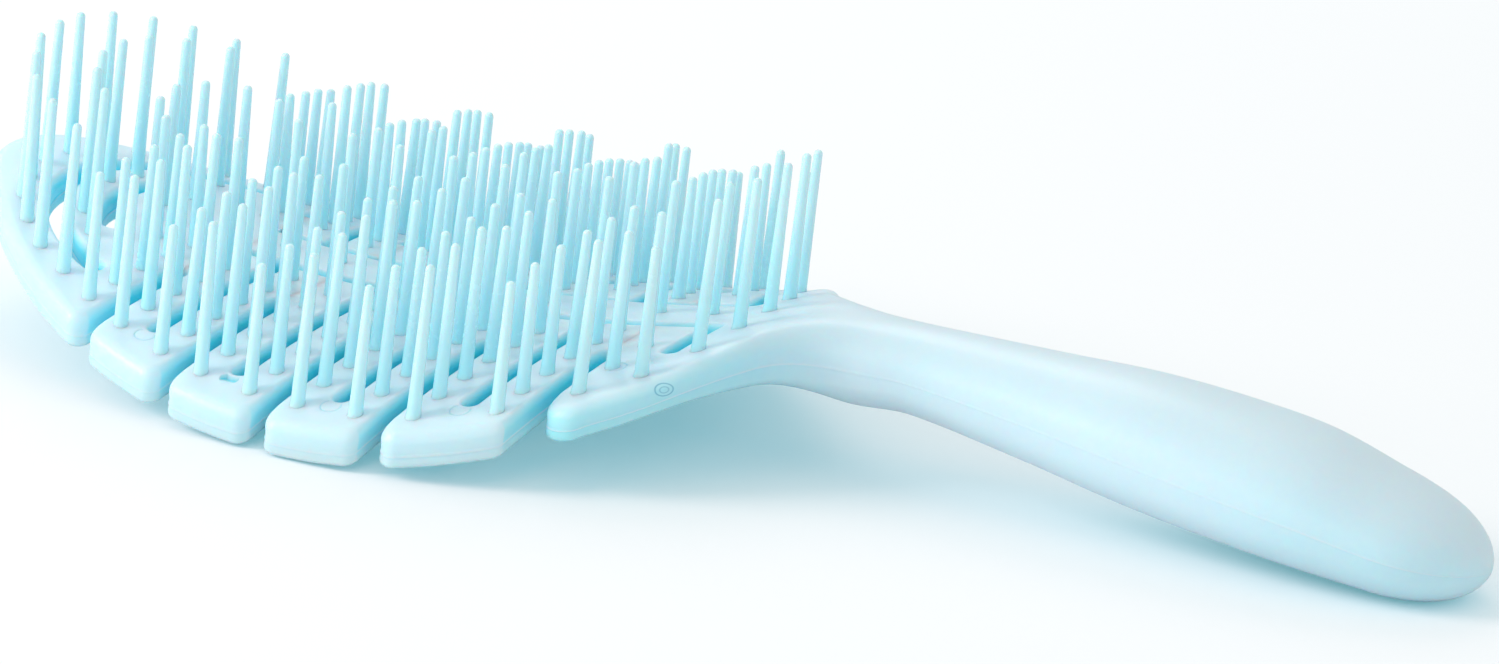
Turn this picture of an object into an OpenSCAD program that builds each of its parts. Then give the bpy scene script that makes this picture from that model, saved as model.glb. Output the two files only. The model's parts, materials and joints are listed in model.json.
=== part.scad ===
/* [Overall] */
// Whole length, from the leaf tip to the end of the grip
total_l = 212; // [196:1:236]
// Greatest width across the head
head_w = 96; // [90:1:104]
// Leaf tip to the widest place of the head
tip_reach = 69.5; // [66:0.5:74]

/* [Head plate] */
// Thickness of the head plate
plate_t = 4.5; // [4:0.1:5.4]
// Radius of the lengthwise bow, hollow on the pin side
bow_r = 235; // [200:5:400]
// Radius of the crosswise arch, crowned on the pin side
arch_r = 150; // [130:5:200]
// Radius of the rounded leaf tip
tip_r = 24.3; // [22:0.1:27]
// Radius of the outline on the grip side of the head
wing_r = 52; // [50:0.5:56]
// Radius of the hollow where the head runs into the neck
neck_fillet_r = 12; // [9:0.5:15]

/* [Ribs and slots] */
// Distance from one open slot to the next
rib_pitch = 15.2; // [14.8:0.1:15.6]
// Width of the open slots between the ribs
slot_w = 2; // [1.6:0.1:2.4]
// Width of the closed slot along the middle of each rib
split_w = 1.6; // [1.2:0.1:2]
// Widest place of the head to the open slot next to the neck, on the spine
last_slot = 31.6; // [31:0.1:33]
// Lean of the slots towards the tip, per millimetre outward
slot_lean_share = 0.14; // [0.1:0.01:0.16]
// Middle of the spine to the round inner end of the open slots
slot_in = 18.6; // [17:0.1:20]
// Outline to the outer end of the closed slots
split_end = 7.6; // [6.5:0.1:9]
// Middle of the spine to the outer end of the closed slot in each wing
wing_split = 18.4; // [17:0.1:20]
// Plan radius of a rib's corner on the tip side
tip_corner = 2.2; // [1.6:0.1:3]
// Plan radius of a rib's corner on the grip side
grip_corner = 1.4; // [0.8:0.1:2]

/* [Spine] */
// Width of the spine between its two grooves
spine_w = 11.4; // [11:0.1:13]
// Width of the groove beside the spine
groove_w = 1.2; // [1:0.05:1.4]
// Thickness of the web that joins a rib to the spine
web_t = 1.8; // [1.2:0.1:2.4]
// Clearance at the flexing places
flex_gap = 0.3; // [0.25:0.05:0.4]
// Outline's widest place to the end of the two grooves, where they meet the neck
groove_reach = 39.5; // [38.5:0.1:40.5]

/* [Leaf tip] */
// Leaf tip to the centre of the round slots
round_centre = 39.5; // [38.5:0.1:40.5]
// Radius of the outer round slot, at its outer wall
rim_slot_r = 29.5; // [28.8:0.1:30]
// Width of the outer round slot
rim_slot_w = 2.4; // [1.8:0.1:2.8]
// Half the angle that the outer round slot spans
rim_slot_angle = 64; // [56:1:66]
// Radius of the inner round slot, at its outer wall
tongue_slot_r = 22.2; // [21.4:0.1:22.8]
// Width of the inner round slot
tongue_slot_w = 2; // [1.6:0.1:2.4]
// Half the angle that the inner round slot spans
tongue_slot_angle = 38; // [30:1:42]

/* [Pins] */
// Length of the long pins
pin_long = 20; // [15:0.1:25]
// Length of the middle pins
pin_middle = 18; // [14:0.1:23]
// Length of the short pins
pin_short = 16.9; // [12:0.1:21]
// Diameter of a pin at its foot
pin_foot_d = 1.8; // [1.4:0.05:2.1]
// Diameter of a pin below its round end
pin_end_d = 1.15; // [0.8:0.05:1.3]
// Distance from one pin to the next in a row
pin_step = 5.65; // [5:0.05:6.4]
// Rib edge to the middle of its row of pins
pin_side = 2.6; // [2.3:0.1:2.8]
// Outline to the outermost pin of a row
pin_outer = 4.5; // [4:0.1:5]
// Outer round slot to the pins of the leaf tip's rim
rim_pin_side = 3.4; // [3:0.1:4]

/* [Handle] */
// Width of the grip where it is widest
grip_w = 30; // [26:0.5:34]
// Thickness of the grip where it is thickest
grip_t = 16.6; // [14:0.1:19]
// Width of the narrow neck behind the head
neck_w = 16.4; // [15:0.1:18]
// Thickness of the neck
neck_t = 11.2; // [10:0.1:12.5]
// Height of the neck's middle above the table
neck_h = 14.9; // [14:0.1:15.8]
// Depth of the flat that the grip rests on
rest_flat = 0.2; // [0.15:0.05:0.3]

/* [Hidden] */

LEFT = 1;
RIGHT = -1;
RIBS = 4;
FINE = 180;
colour = "paleturquoise";
overrun = 1;

// Places along the brush, from the middle of its length
tip_x = -total_l / 2;
end_x = total_l / 2;
wide_x = tip_x + tip_reach;
round_x = tip_x + round_centre;
apex_x = wide_x + groove_reach;

// The bow is lowest a little towards the tip from the widest place
low_place_share = 0.1;
low_x = wide_x - tip_reach * low_place_share;
half_w = head_w / 2;

// The side arc is square to the head at its widest place and runs into the round tip
side_r = (pow(tip_reach - tip_r, 2) + pow(half_w, 2) - pow(tip_r, 2)) / (2 * (half_w - tip_r));
tip_centre_x = tip_x + tip_r;
side_meets_tip_x = wide_x - (wide_x - tip_centre_x) * side_r / (side_r - tip_r);

// The wing arc runs into the neck through a hollow fillet
fillet_y = neck_w / 2 + neck_fillet_r;
wing_y = half_w - wing_r;
neck_x = wide_x + sqrt(pow(wing_r + neck_fillet_r, 2) - pow(fillet_y - wing_y, 2));
wing_meets_neck_x = wide_x + (neck_x - wide_x) * wing_r / (wing_r + neck_fillet_r);

// Half the width of the head, at a place along it
function arc_height(r, d) = sqrt(max(0, r * r - d * d));
function side_half(x) =
    x < side_meets_tip_x ? arc_height(tip_r, x - tip_centre_x)
    : x < wide_x ? half_w - side_r + arc_height(side_r, x - wide_x)
    : x < wing_meets_neck_x ? wing_y + arc_height(wing_r, x - wide_x)
    : fillet_y - arc_height(neck_fillet_r, min(0, x - neck_x));

// The outer lower edges of the plate stand on the table
function rise(x) = bow_r - arc_height(bow_r, x - low_x);
EDGE_STATIONS = 20;
function foot_drop(x) = rise(x) - arch_r + arc_height(arch_r - plate_t, side_half(x));
crown_h = -min([for (i = [0 : EDGE_STATIONS]) foot_drop(wide_x + (i / EDGE_STATIONS - 0.5) * rib_pitch)]);
function top_z(x, y) = crown_h - arch_r + rise_out(x, arc_height(arch_r, y));
// Both bows together: the crosswise arch turned about the far axis of the lengthwise bow
function rise_out(x, z) = let (r = bow_r + arch_r - z) bow_r + arch_r - arc_height(r, x - low_x);

// A bowed and arched slab between two depths below the pin side
module slab(high, low) {
    slab_deep = arch_r - arc_height(arch_r, half_w) + plate_t + overrun;
    translate([low_x, 0, crown_h + bow_r]) rotate([90, 0, 0]) rotate_extrude($fn = 2 * FINE)
        translate([bow_r + arch_r, 0]) intersection() {
            difference() {
                circle(r = arch_r - high, $fn = 2 * FINE);
                circle(r = arch_r - low, $fn = 2 * FINE);
            }
            translate([-arch_r - overrun, -half_w - overrun])
                square([slab_deep + overrun, head_w + 2 * overrun]);
        }
}
plate_room = crown_h + rise(tip_x) + overrun;
module plate(high = 0, low = plate_t) {
    intersection() {
        slab(high, low);
        translate([0, 0, -overrun]) linear_extrude(plate_room + overrun) children();
    }
}

// Slot k has its grip-side edge on a straight line; slot 0 is the one next to the neck, and the
// rib beside it is a little wider than the others
last_extra = slot_in * slot_lean_share / 2;
function slot_x(k) = wide_x + last_slot - k * rib_pitch + (k == 0 ? last_extra : 0);
function edge_x(k, y, back) = slot_x(k) - back - slot_lean_share * abs(y);
// How far out the line that lies back behind slot k meets the outline
function edge_reach(k, back, y = 0, n = 8) = n == 0 ? y
    : edge_reach(k, back, side_half(edge_x(k, y, back)), n - 1);

function unit(v) = v / norm(v);
function along(a, b, t) = a + (b - a) * t;
function bezier(a, b, c, t) = along(along(a, b, t), along(b, c, t), t);
function flipped(p) = [for (v = p) [v[0], -v[1]]];
function backwards(p) = [for (i = [len(p) - 1 : -1 : 0]) p[i]];
function arc_points(c, r, a0, a1, n) = [for (i = [0 : n]) let (a = along(a0, a1, i / n))
    c + r * [cos(a), sin(a)]];

// Inside the round end of an open slot, the arms on its two sides are parted by a hairline
root_y = spine_w / 2 + groove_w;
round_y = slot_in + slot_w / 2;
parted = (slot_w - flex_gap) / 2;

// A rib's plan on the left, counter-clockwise from the root of its tip side
CORNER_STEPS = 4;
OUTER_STEPS = 4;
function rib_tip_end(k) = let (y = edge_reach(k, 0)) [edge_x(k, y, 0), y];
function rib_grip_end(k) = let (y = edge_reach(k - 1, slot_w)) [edge_x(k - 1, y, slot_w), y];
function corner_points(root, c, outward, r) = let (a = c + r * unit(root - c), b = c + r * outward)
    [for (i = [0 : CORNER_STEPS]) bezier(a, c, b, i / CORNER_STEPS)];
function on_edge(k, y, back) = [edge_x(k, y, back), y];
function rib_plan(k) = let (
        t = rib_tip_end(k),
        g = rib_grip_end(k),
        t_root = on_edge(k, round_y, 0),
        g_root = on_edge(k - 1, round_y, slot_w),
        x0 = t[0] + tip_corner,
        x1 = g[0] - grip_corner)
    concat([on_edge(k, root_y, parted), on_edge(k, round_y, parted), t_root],
        corner_points(t_root, t, unit(g - t), tip_corner),
        [for (i = [1 : OUTER_STEPS - 1]) let (x = along(x0, x1, i / OUTER_STEPS)) [x, side_half(x)]],
        backwards(corner_points(g_root, g, unit(t - g), grip_corner)),
        [g_root, on_edge(k - 1, round_y, slot_w - parted), on_edge(k - 1, root_y, slot_w - parted)]);
module slot_end(k) {
    translate(on_edge(k, round_y, slot_w / 2)) circle(r = slot_w / 2, $fn = 32);
}

// The middle line of rib k, where its closed slot runs out to a round end
function rib_mid(k, y) = [(edge_x(k, y, 0) + edge_x(k - 1, y, slot_w)) / 2, y];
function split_reach(k) = (rib_tip_end(k)[1] + rib_grip_end(k)[1]) / 2 - split_end;
module straight_slot(p, q, w) {
    d = unit(q - p);
    translate(p) rotate(atan2(d[1], d[0])) {
        translate([-w / 2, -w / 2]) square([norm(q - p) + w / 2, w]);
        translate([norm(q - p), 0]) circle(r = w / 2, $fn = 32);
    }
}

// The thin web at the foot of an arm, up to the clearance beside the spine
web_foot = web_t / 6;
web_lap = groove_w / 2;
web_side = web_t / 3;
module web(x0, x1) {
    near_y = spine_w / 2 + flex_gap;
    far_y = root_y + web_lap;
    plate(plate_t - web_foot - web_t, plate_t - web_foot)
        polygon([[x0, near_y], [x1, near_y], [x1, far_y], [x0, far_y]]);
}

// Shallow round mark of an ejector near the outer end of a rib
mark_r = 1.2;
mark_depth = 0.3;
function mark_y(k) = split_reach(k) + 2 * mark_r;
module ejector_mark(p) {
    translate([p[0], p[1], top_z(p[0], p[1]) - mark_depth]) cylinder(r = mark_r, h = plate_t, $fn = 32);
}

// A rib: two arms joined at the outline, with a web under each root
module rib(k, side) {
    color(colour) mirror([0, side == RIGHT ? 1 : 0, 0]) {
        difference() {
            plate() difference() {
                polygon(rib_plan(k));
                straight_slot(rib_mid(k, 0), rib_mid(k, split_reach(k)), split_w);
                slot_end(k);
                slot_end(k - 1);
            }
            ejector_mark(rib_mid(k, mark_y(k)));
        }
        arm_gap = split_w / 2 + web_side;
        web(edge_x(k, root_y, parted) + web_side, rib_mid(k, root_y)[0] - arm_gap);
        web(rib_mid(k, root_y)[0] + arm_gap, edge_x(k - 1, root_y, slot_w - parted) - web_side);
    }
}

// The spine: a bar between the two grooves, cut off where they end
spine_start_x = edge_x(RIBS, 0, parted);
spine_end_x = apex_x - groove_w / 2;
module spine() {
    color(colour) plate() translate([spine_start_x, -spine_w / 2])
        square([spine_end_x - spine_start_x, spine_w]);
}

// A round slot in the leaf tip, with round ends, symmetric about the brush's middle
ROUND_STEPS = 16;
module round_slot(r, w, half_angle) {
    c = [round_x, 0];
    a = 180 - half_angle;
    b = 180 + half_angle;
    polygon(concat(arc_points(c, r, a, b, ROUND_STEPS), backwards(arc_points(c, r - w, a, b, ROUND_STEPS))));
    for (t = [a, b]) translate(c + (r - w / 2) * [cos(t), sin(t)]) circle(r = w / 2, $fn = 32);
}

// The leaf tip: a rim, a row beside the first open slot, and a tongue inside two round slots
TIP_STEPS = 12;
SIDE_STEPS = 8;
function leaf_tip_half() = let (
        c = on_edge(RIBS, edge_reach(RIBS, slot_w), slot_w),
        root = on_edge(RIBS, round_y, slot_w),
        x1 = c[0] - grip_corner,
        a1 = acos((side_meets_tip_x - tip_centre_x) / tip_r))
    concat([on_edge(RIBS, round_y, slot_w - parted), root],
        corner_points(root, c, unit([x1, side_half(x1)] - c), grip_corner),
        [for (i = [1 : SIDE_STEPS - 1]) let (x = along(x1, side_meets_tip_x, i / SIDE_STEPS))
            [x, side_half(x)]],
        [for (i = [0 : TIP_STEPS - 1]) let (a = along(a1, 180, i / TIP_STEPS))
            [tip_centre_x + tip_r * cos(a), tip_r * sin(a)]]);
module leaf_tip() {
    color(colour) plate() difference() {
        polygon(concat([on_edge(RIBS, 0, slot_w - parted)], leaf_tip_half(), [[tip_x, 0]],
            backwards(flipped(leaf_tip_half()))));
        round_slot(rim_slot_r, rim_slot_w, rim_slot_angle);
        round_slot(tongue_slot_r, tongue_slot_w, tongue_slot_angle);
        for (s = [0, 1]) mirror([0, s]) slot_end(RIBS);
    }
}

// Smooth curve through hand-chosen shares at hand-chosen places
function slope_at(xs, ys, i) = i == 0 ? (ys[1] - ys[0]) / (xs[1] - xs[0])
    : i == len(xs) - 1 ? (ys[i] - ys[i - 1]) / (xs[i] - xs[i - 1])
    : (ys[i + 1] - ys[i - 1]) / (xs[i + 1] - xs[i - 1]);
function curve(xs, ys, t, i = 0) = t > xs[i + 1] && i < len(xs) - 2 ? curve(xs, ys, t, i + 1)
    : let (w = xs[i + 1] - xs[i], u = (t - xs[i]) / w, v = 1 - u)
    ys[i] * v * v * (1 + 2 * u) + ys[i + 1] * u * u * (1 + 2 * v)
    + w * u * v * (v * slope_at(xs, ys, i) - u * slope_at(xs, ys, i + 1));

// The grip swells from the neck, and sinks to the table towards its end
grip_place_shares = [0, 0.08, 0.28, 0.445, 0.6, 0.72, 0.865, 1];
grip_width_shares = [0, 0, 0.34, 0.71, 0.95, 1, 0.76, 0.6];
grip_thick_shares = [0, 0, 0.46, 0.9, 1, 0.9, 0.45, 0.4];
grip_sink_shares = [0, 0, 0.145, 0.28, 0.43, 0.57, 0.82, 1];
function grip_share(x) = max(0, (x - neck_x) / (end_x - neck_x));
end_round_share = 0.45;
end_reach = end_round_share * grip_w;
function end_round(x) = arc_height(1, max(0, (x - end_x) / end_reach + 1));
function grip_half(x) = along(neck_w, grip_w, curve(grip_place_shares, grip_width_shares, grip_share(x)))
    / 2 * end_round(x);
function grip_thick(x) = along(neck_t, grip_t, curve(grip_place_shares, grip_thick_shares, grip_share(x)))
    / 2 * end_round(x);
SINK_STEPS = 40;
function sink(x) = curve(grip_place_shares, grip_sink_shares, grip_share(x));
// The sink that presses the grip into the table by the depth of its flat
grip_sink = min([for (i = [10 : SINK_STEPS]) let (x = along(neck_x, end_x, i / SINK_STEPS))
    (neck_h + rest_flat - grip_thick(x)) / sink(x)]);

// The handle's section: flat and wide in the head, oval in the grip
function ease(x, x0, x1) = let (t = min(1, max(0, (x - x0) / (x1 - x0)))) t * t * (3 - 2 * t);
fan_start_x = apex_x - groove_w;
function fan(x) = ease(x, fan_start_x, neck_x);
function handle_half(x) = x < neck_x ? side_half(x) : grip_half(x);
function axis_z(x) = neck_h - grip_sink * sink(x);
function handle_top(x, y) = along(top_z(x, y), axis_z(x) + grip_thick(x), fan(x));
function handle_low(x, y) = along(top_z(x, y) - plate_t, axis_z(x) - grip_thick(x), fan(x));
// Squareness of the section's ends: high is a sharp edge, two is an ellipse
plate_squareness = 16;
grip_squareness = 2.3;
function plate_like(x) = 1 - ease(x, fan_start_x - tip_corner, neck_x + neck_w / 2);
function squareness(x) = 2 * pow(plate_squareness / 2, plate_like(x)) * pow(grip_squareness / 2, fan(x));
function bulge(t, n) = pow(1 - pow(abs(t), n), 1 / n);
// Share of the thickness above the parting line, in the plate and in the grip
plate_part_share = 0.64;
grip_part_share = 0.5;
function part_z(x, y) = along(handle_top(x, y), handle_low(x, y),
    along(plate_part_share, grip_part_share, fan(x)));
RING_STEPS = 14;
function section(x) = let (h = handle_half(x), n = squareness(x)) concat(
    [for (i = [0 : RING_STEPS]) let (t = sin(180 * i / RING_STEPS - 90), y = t * h)
        [x, y, along(part_z(x, y), handle_top(x, y), bulge(t, n))]],
    [for (i = [RING_STEPS - 1 : -1 : 1]) let (t = sin(180 * i / RING_STEPS - 90), y = t * h)
        [x, y, along(part_z(x, y), handle_low(x, y), bulge(t, n))]]);

// Stations along the handle, closer together in the fan and at the round end
FAN_STATIONS = 16;
GRIP_STATIONS = 16;
END_STATIONS = 7;
fan_x0 = edge_x(0, half_w, 0);
end_round_x = end_x - end_reach;
stations = concat(
    [for (i = [0 : FAN_STATIONS - 1]) along(fan_x0, neck_x, i / FAN_STATIONS)],
    [for (i = [0 : GRIP_STATIONS - 1]) along(neck_x, end_round_x, i / GRIP_STATIONS)],
    [for (i = [0 : END_STATIONS - 1]) along(end_round_x, end_x, sin(90 * i / END_STATIONS))]);
module swept(rings, last) {
    m = len(rings[0]);
    q = len(rings);
    walls = [for (j = [0 : q - 2]) for (i = [0 : m - 1]) for (f = [0, 1])
        let (a = j * m + i, b = j * m + (i + 1) % m) f == 0 ? [a, b, b + m] : [a, b + m, a + m]];
    end_fan = [for (i = [0 : m - 1]) [(q - 1) * m + i, (q - 1) * m + (i + 1) % m, q * m]];
    start = [for (i = [m - 1 : -1 : 0]) i];
    polyhedron(concat([for (r = rings) each r], [last]), concat([start], walls, end_fan), convexity = 6);
}
module handle() {
    reach = half_w + overrun;
    back_x = fan_x0 - half_w;
    groove_y = (spine_w + groove_w) / 2;
    apex = [apex_x - groove_w / 2, groove_y];
    color(colour) difference() {
        swept([for (x = stations) section(x)], [end_x, 0, axis_z(end_x)]);
        translate([neck_x, -grip_w, -grip_w]) cube([total_l, 2 * grip_w, grip_w]);
        translate([0, 0, -overrun]) linear_extrude(2 * plate_room) {
            translate([back_x, -spine_w / 2]) square([spine_end_x - back_x, spine_w]);
            for (s = [0, 1]) mirror([0, s]) {
                polygon([on_edge(0, 0, parted), on_edge(0, round_y, parted), on_edge(0, round_y, 0),
                    on_edge(0, reach, 0), [back_x, reach], [back_x, 0]]);
                slot_end(0);
                straight_slot([back_x, groove_y], apex, groove_w);
                straight_slot(apex, [apex[0] - slot_lean_share * (wing_split - groove_y),
                    wing_split - split_w / 2], split_w);
            }
        }
    }
}

// A pin: a slim cone with a round end, cut off along the face that it grows from
DOME = [0, 30, 60, 90];
module pin(p, h, slope) {
    end_r = pin_end_d / 2;
    sunk = pin_foot_d;
    cut = 4 * pin_foot_d;
    size = norm([slope[0], slope[1], 1]);
    translate(p) difference() {
        rotate_extrude($fn = 24) polygon(concat([[0, -sunk], [pin_foot_d / 2, -sunk]],
            [for (a = DOME) [end_r * cos(a), h - end_r + end_r * sin(a)]]));
        rotate([asin(slope[1] / size), -atan(slope[0]), 0])
            translate([-cut / 2, -cut / 2, -cut]) cube(cut);
    }
}
function head_slope(x, y) = [(x - low_x) / arc_height(bow_r, x - low_x), -y / arc_height(arch_r, y)];
module head_pin(x, y, h) {
    pin([x, y, top_z(x, y)], h, head_slope(x, y));
}
module handle_pin(x, y, h) {
    d = pin_foot_d / 2;
    pin([x, y, handle_top(x, y)], h, [(handle_top(x + d, y) - handle_top(x - d, y)) / (2 * d),
        (handle_top(x, y + d) - handle_top(x, y - d)) / (2 * d)]);
}

// Two rows on each rib. The one on its tip side has long pins outside and middle ones further in,
// and the one on its grip side has short pins
TIP_ROW = 0;
GRIP_ROW = 1;
function long_count(k) = k == 1 ? 3 : 4;
row_end = root_y + pin_foot_d;
function row_x(k, y, row) = row == TIP_ROW ? edge_x(k, y, 0) + pin_side
    : edge_x(k - 1, y, slot_w) - pin_side;
function row_start(k, row) = (row == TIP_ROW ? edge_reach(k, -pin_side)
    : edge_reach(k - 1, slot_w + pin_side)) - pin_outer;
function row_count(k, row) = 1 + floor((row_start(k, row) - row_end) / pin_step);
module long_pins(k, side) {
    color(colour) for (i = [0 : row_count(k, TIP_ROW) - 1]) let (y = row_start(k, TIP_ROW) - i * pin_step)
        head_pin(row_x(k, y, TIP_ROW), side * y, i < long_count(k) ? pin_long : pin_middle);
}
module short_pins(k, side) {
    color(colour) for (i = [0 : row_count(k, GRIP_ROW) - 1]) let (y = row_start(k, GRIP_ROW) - i * pin_step)
        head_pin(row_x(k, y, GRIP_ROW), side * y, pin_short);
}

// One pin on the spine in line with each row, and one more before the neck
module spine_pins() {
    color(colour) {
        for (k = [1 : RIBS]) for (row = [TIP_ROW, GRIP_ROW]) head_pin(row_x(k, 0, row), 0, pin_middle);
        head_pin(apex_x - pin_side - groove_w, 0, pin_middle);
    }
}

// Pins on an arc round the centre of the round slots, one way from the tip
module arc_pins(r, first, step, count, h) {
    for (i = [0 : count - 1]) let (a = 180 - first - i * step) head_pin(round_x + r * cos(a), r * sin(a), h);
}
RIM_PINS = 6;
STRIP_PINS = 3;
TONGUE_PINS = 2;
rim_pins_r = rim_slot_r + rim_pin_side;
strip_pins_r = (rim_slot_r - rim_slot_w + tongue_slot_r) / 2;
tongue_pins_r = tongue_slot_r - tongue_slot_w - rim_pin_side - pin_foot_d / 2;
// Angle between two pins that stand a step apart on an arc, a little wider on the leaf tip
arc_step_share = 1.18;
wide_step = arc_step_share * pin_step;
function step_angle(r) = wide_step / r * 180 / PI;
module rim_pins(side) {
    step = step_angle(rim_pins_r);
    color(colour) arc_pins(rim_pins_r, side * step / 2, side * step, RIM_PINS, pin_long);
}
module strip_pins() {
    step = step_angle(strip_pins_r);
    color(colour) arc_pins(strip_pins_r, -STRIP_PINS * step, step, 2 * STRIP_PINS + 1, pin_long);
}
module tongue_pins() {
    step = step_angle(tongue_pins_r);
    color(colour) arc_pins(tongue_pins_r, -TONGUE_PINS * step, step, 2 * TONGUE_PINS + 1, pin_short);
}

// The row of short pins on the leaf tip, beside the first open slot
TIP_ROW_PINS = 5;
module tip_row_pins(side) {
    start = edge_reach(RIBS, slot_w + pin_side) - pin_outer;
    color(colour) for (i = [0 : TIP_ROW_PINS - 1]) let (y = start - i * pin_step)
        head_pin(edge_x(RIBS, y, slot_w) - pin_side, side * y, pin_short);
}

// Pins on a wing: a long one at its corner, a short one behind it, and middle ones along the slot
WING_PINS = 3;
wing_share = 1.4;
behind_share = 3;
module wing_pins(side) {
    wing_step = wing_share * pin_step;
    out = edge_reach(0, -pin_side) - wing_share * pin_outer;
    color(colour) {
        for (i = [0 : WING_PINS - 1]) let (y = out - i * wing_step)
            handle_pin(edge_x(0, y, 0) + pin_side, side * y, i == 0 ? pin_long : pin_middle);
        let (y = out - pin_step)
            handle_pin(edge_x(0, y, 0) + behind_share * pin_side, side * y, pin_short);
    }
}

// A shallow arc of long pins across the neck
NECK_PINS = 2;
neck_share = 1.6;
module neck_pins() {
    neck_step = neck_share * pin_step;
    neck_row_x = apex_x + neck_share * pin_side;
    color(colour) for (i = [-NECK_PINS : NECK_PINS])
        handle_pin(neck_row_x - i * i * pin_foot_d / 3, i * neck_step, pin_long);
}

handle();
spine();
leaf_tip();
rib(1, LEFT);  // left_rib_1
rib(2, LEFT);  // left_rib_2
rib(3, LEFT);  // left_rib_3
rib(4, LEFT);  // left_rib_4
rib(1, RIGHT);  // right_rib_1
rib(2, RIGHT);  // right_rib_2
rib(3, RIGHT);  // right_rib_3
rib(4, RIGHT);  // right_rib_4
long_pins(1, LEFT);  // left_rib_1_long_pins
long_pins(2, LEFT);  // left_rib_2_long_pins
long_pins(3, LEFT);  // left_rib_3_long_pins
long_pins(4, LEFT);  // left_rib_4_long_pins
short_pins(1, LEFT);  // left_rib_1_short_pins
short_pins(2, LEFT);  // left_rib_2_short_pins
short_pins(3, LEFT);  // left_rib_3_short_pins
short_pins(4, LEFT);  // left_rib_4_short_pins
long_pins(1, RIGHT);  // right_rib_1_long_pins
long_pins(2, RIGHT);  // right_rib_2_long_pins
long_pins(3, RIGHT);  // right_rib_3_long_pins
long_pins(4, RIGHT);  // right_rib_4_long_pins
short_pins(1, RIGHT);  // right_rib_1_short_pins
short_pins(2, RIGHT);  // right_rib_2_short_pins
short_pins(3, RIGHT);  // right_rib_3_short_pins
short_pins(4, RIGHT);  // right_rib_4_short_pins
rim_pins(LEFT);  // left_rim_pins
rim_pins(RIGHT);  // right_rim_pins
strip_pins();
tongue_pins();
tip_row_pins(LEFT);  // left_tip_row_pins
tip_row_pins(RIGHT);  // right_tip_row_pins
spine_pins();
neck_pins();
wing_pins(LEFT);  // left_wing_pins
wing_pins(RIGHT);  // right_wing_pins
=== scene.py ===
"""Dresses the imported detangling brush: slotted head, pins, neck and grip, on a plain table."""

import json
import math

import bmesh
import bpy
import numpy as np
from bpy.props import FloatProperty, FloatVectorProperty, IntProperty, PointerProperty
from mathutils import Matrix, Vector
from mathutils.geometry import delaunay_2d_cdt


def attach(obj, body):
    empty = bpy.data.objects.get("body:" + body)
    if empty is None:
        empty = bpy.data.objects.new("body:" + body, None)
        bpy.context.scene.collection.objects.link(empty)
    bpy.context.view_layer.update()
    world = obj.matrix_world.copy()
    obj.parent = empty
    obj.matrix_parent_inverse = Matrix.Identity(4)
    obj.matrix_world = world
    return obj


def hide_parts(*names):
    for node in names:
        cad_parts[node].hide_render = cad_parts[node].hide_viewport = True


bl_info = {
    "name": "Detangling brush",
    "version": (1, 0, 0),
    "blender": (4, 5, 0),
    "location": "3D View > Sidebar > Brush",
    "description": "Builds a one-piece detangling hair brush with slotted ribs and slim pins",
    "category": "Object",
}

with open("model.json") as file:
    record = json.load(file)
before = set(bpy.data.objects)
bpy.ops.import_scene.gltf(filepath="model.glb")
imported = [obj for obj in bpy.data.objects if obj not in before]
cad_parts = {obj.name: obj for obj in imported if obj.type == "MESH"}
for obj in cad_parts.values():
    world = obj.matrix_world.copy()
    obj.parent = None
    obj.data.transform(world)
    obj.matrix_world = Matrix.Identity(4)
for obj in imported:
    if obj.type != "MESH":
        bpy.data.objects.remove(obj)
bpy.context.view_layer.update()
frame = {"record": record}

MM = 0.001
RIBS = 4
LEFT, RIGHT = 1, -1
SIDES = {"left": LEFT, "right": RIGHT}

# Kinds of plan edges. They number the entries of WALL_SHADE, the painted shade of each kind of
# wall, and of PlateRings.widths.
CUT, GROOVE, SLOT, OUTER = range(4)

# Sizes and angles of the moulding that the panel doesn't offer
PARTING, GRIP_PARTING = 0.64, 0.5  # share of the thickness above the parting line
BEAD, BEAD_HALF = 0.12 * MM, 0.17 * MM  # how far the parting line stands out, half its width
LOW_ROUND = 0.55  # rounding of the lower edges, as a share of the upper ones
ARM_ROUND, SPINE_ROUND = 1.15 * MM, 0.9 * MM  # corners between a groove and a closed slot
CUT_REACH, SHARP_ANGLE = 20 * MM, math.radians(55)  # where a closed cut's edges are drawn sharp
MARK_RADIUS, MARK_DEPTH, DIMPLE_DEPTH = 1.3 * MM, 0.16 * MM, 0.9 * MM
MARK_PAST_SLOT = 2.4 * MM  # end of a rib's closed slot to its ejector mark
WING_MARK = (-3.96 * MM, 23.98 * MM)
DIMPLED_RIB = (3, RIGHT)
WING_BEND = 1.6  # plan radius of the wings' corners, in shoulder roundings
PIN_SINK = 0.9 * MM  # how deep a pin's foot stands in the plate
WING_SPREAD, RING_SPREAD, NECK_SPREAD = 1.4, 1.18, 1.6  # spacing of those pins, in steps

# Fineness of the meshes
PLAN_STEP, OUTLINE_STEP, OUTLINE_GAP = 1.6 * MM, 1.5 * MM, 0.3 * MM
CAP_STEP, HANDLE_CAP_STEP = 1.9 * MM, 1.8 * MM
OVAL_CAP_X = 14 * MM
OVAL_CAP_ANGLES = (68, 72.5, 77, 81.5, 85.8, 90, 94.2, 98.5, 103, 107.5, 112)
MARK_ROUNDS = (0.3, 0.6, 0.85, 0.93, 1.0, 1.07, 1.2)
NECK_STEP, NECK_GAP = 1.1 * MM, 0.4 * MM
GRID_ROW, GRID_CLEAR = 0.866, 0.55  # rows of a cap's grid and its distance from edges, in steps
NEARLY_STRAIGHT = 0.12  # sine of the angle under which two edges move as one
MERGE = 2e-7
PIN_ROWS, DOME_ROWS, PIN_CORNERS = 15, 5, 12
DOME_ANGLE = math.radians(84)

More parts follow.
